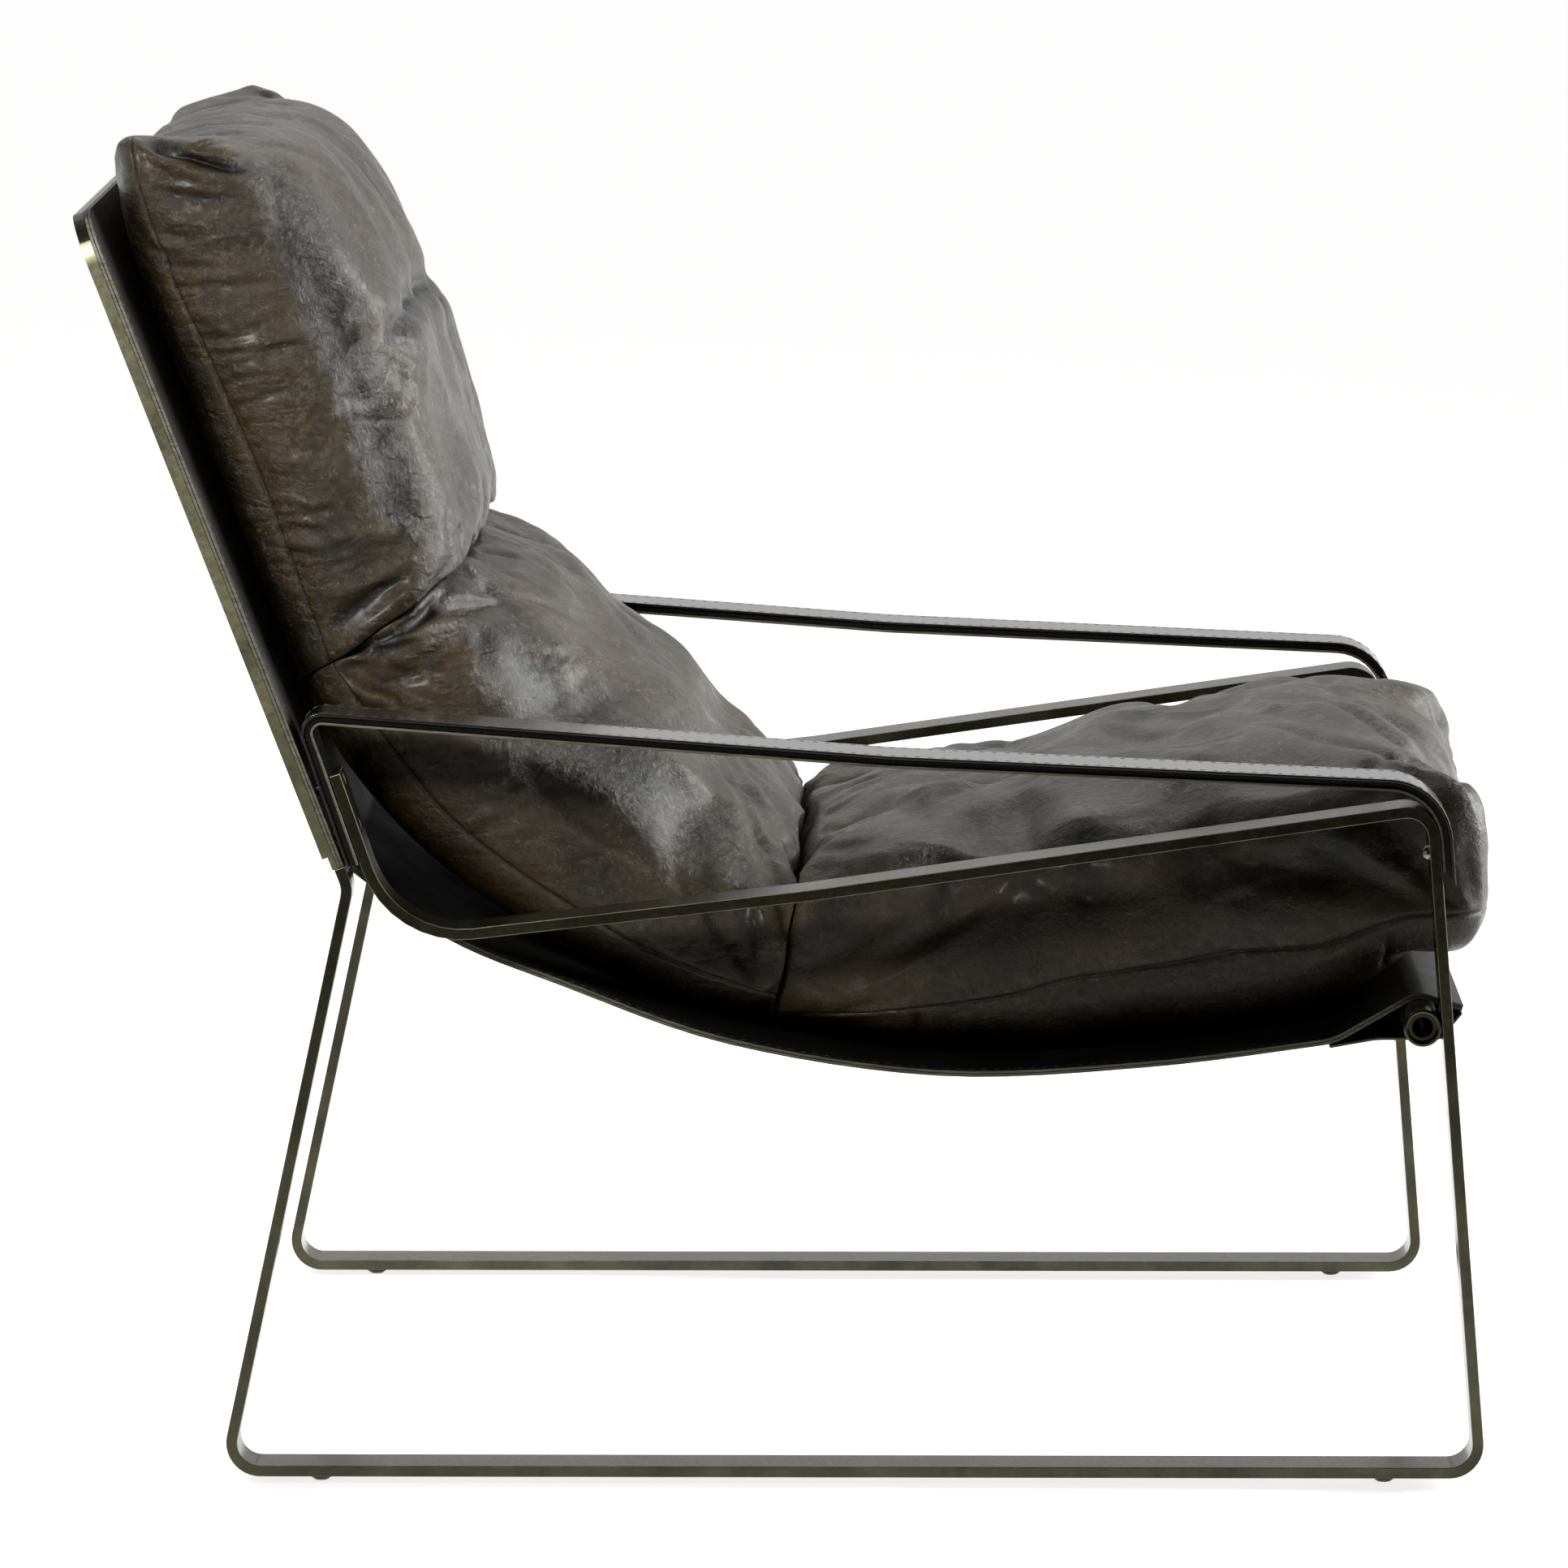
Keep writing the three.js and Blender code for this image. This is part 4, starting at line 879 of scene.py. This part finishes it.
# Stage: a white sweep under and behind the chair on a dark studio floor, soft lamps and the camera
stageSet = {"sweep": "e4e4e2", "studio": "2c2c2c", "sweepEdge": (-2.2, -1.1), "glow": 0.8, "floorHalf": 60, "dim": 0.02,
            "bright": 0.6, "horizon": (-0.1, 0.6)}
floorMaterial, floorTree, floorPlace, floorShader = newMaterial("white_studio_sweep", {
    "Roughness": 0.9, "Specular IOR Level": 0.1, "Emission Color": (1, 1, 1, 1)})
floorY = addNode(floorTree, "ShaderNodeSeparateXYZ", None, {0: floorPlace})
onSweep = addNode(floorTree, "ShaderNodeMapRange", None, {
    "Value": floorY.outputs["Y"], "From Min": stageSet["sweepEdge"][0], "From Max": stageSet["sweepEdge"][1]})
paper = addNode(floorTree, "ShaderNodeMix", {"data_type": "RGBA"}, {
    0: onSweep.outputs[0], 6: linear(stageSet["studio"]), 7: linear(stageSet["sweep"])})
floorTree.links.new(paper.outputs[2], floorShader.inputs["Base Color"])
rays = addNode(floorTree, "ShaderNodeLightPath")
seen = addNode(floorTree, "ShaderNodeMath", {"operation": "MAXIMUM"}, {
    0: rays.outputs["Is Camera Ray"], 1: rays.outputs["Is Glossy Ray"]})
seen = addNode(floorTree, "ShaderNodeMath", {"operation": "MAXIMUM"}, {
    0: seen.outputs[0], 1: rays.outputs["Is Transmission Ray"]})
lit = addNode(floorTree, "ShaderNodeMath", {"operation": "MULTIPLY"}, {0: seen.outputs[0], 1: onSweep.outputs[0]})
glow = addNode(floorTree, "ShaderNodeMath", {"operation": "MULTIPLY"}, {0: lit.outputs[0], 1: stageSet["glow"]})
floorTree.links.new(glow.outputs[0], floorShader.inputs["Emission Strength"])
bm = bmesh.new()
bmesh.ops.create_grid(bm, x_segments=1, y_segments=1, size=stageSet["floorHalf"])
floorMesh = bpy.data.meshes.new("studio_floor")
bm.to_mesh(floorMesh)
bm.free()
floorMesh.materials.append(floorMaterial)
floor = bpy.data.objects.new("studio_floor", floorMesh)
bpy.context.scene.collection.objects.link(floor)

world = bpy.data.worlds.new("studio")  # a white sweep behind the chair and a dimmer room in front of it
bpy.context.scene.world = world
world.use_nodes = True
tree = world.node_tree
ray = addNode(tree, "ShaderNodeTexCoord").outputs["Generated"]
way = addNode(tree, "ShaderNodeSeparateXYZ", None, {0: ray})
level = addNode(tree, "ShaderNodeMapRange", None, {
    "Value": way.outputs["Y"], "From Min": stageSet["horizon"][0], "From Max": stageSet["horizon"][1],
    "To Min": stageSet["dim"], "To Max": stageSet["bright"]})
tree.nodes["Background"].inputs["Color"].default_value = (1, 1, 1, 1)
tree.links.new(level.outputs[0], tree.nodes["Background"].inputs["Strength"])

lamps = {"top": {"at": (0.1, 2.3, 2.5), "aim": (0, 0, 0.4), "size": 1.6, "power": 11, "spread": 180},
         "front": {"at": (3.2, 1.3, 1.4), "aim": (0, 0, 0.5), "size": 2.0, "power": 205, "spread": 180},
         "rear": {"at": (-2.6, 1.6, 2.4), "aim": (0, 0, 0.5), "size": 1.8, "power": 16, "spread": 180},
         "side": {"at": (-0.9, -2.0, 1.7), "aim": (-0.38, -0.28, 0.7), "size": 0.5, "power": 3.0, "spread": 34}}
for name, spec in lamps.items():
    data = bpy.data.lights.new(name, "AREA")
    data.size = spec["size"]
    data.energy = spec["power"]
    data.spread = math.radians(spec["spread"])
    lamp = bpy.data.objects.new(name + "_lamp", data)
    lamp.location = spec["at"]
    lamp.rotation_euler = (Vector(spec["aim"]) - Vector(spec["at"])).to_track_quat("-Z", "Y").to_euler()
    bpy.context.scene.collection.objects.link(lamp)

view = {"at": (0.0475, -5.9931, 1.2684), "tilt": 81.7275, "turn": 0.504, "lens": 209.52, "sensor": 36, "clipEnd": 100}
cameraData = bpy.data.cameras.new("photo_camera")
cameraData.lens = view["lens"]
cameraData.sensor_width = view["sensor"]
cameraData.clip_end = view["clipEnd"]
camera = bpy.data.objects.new("photo_camera", cameraData)
camera.location = view["at"]
camera.rotation_euler = (math.radians(view["tilt"]), 0, math.radians(view["turn"]))
bpy.context.scene.collection.objects.link(camera)
bpy.context.scene.camera = camera
bpy.context.scene.view_settings.view_transform = "Standard"
print("stage set")
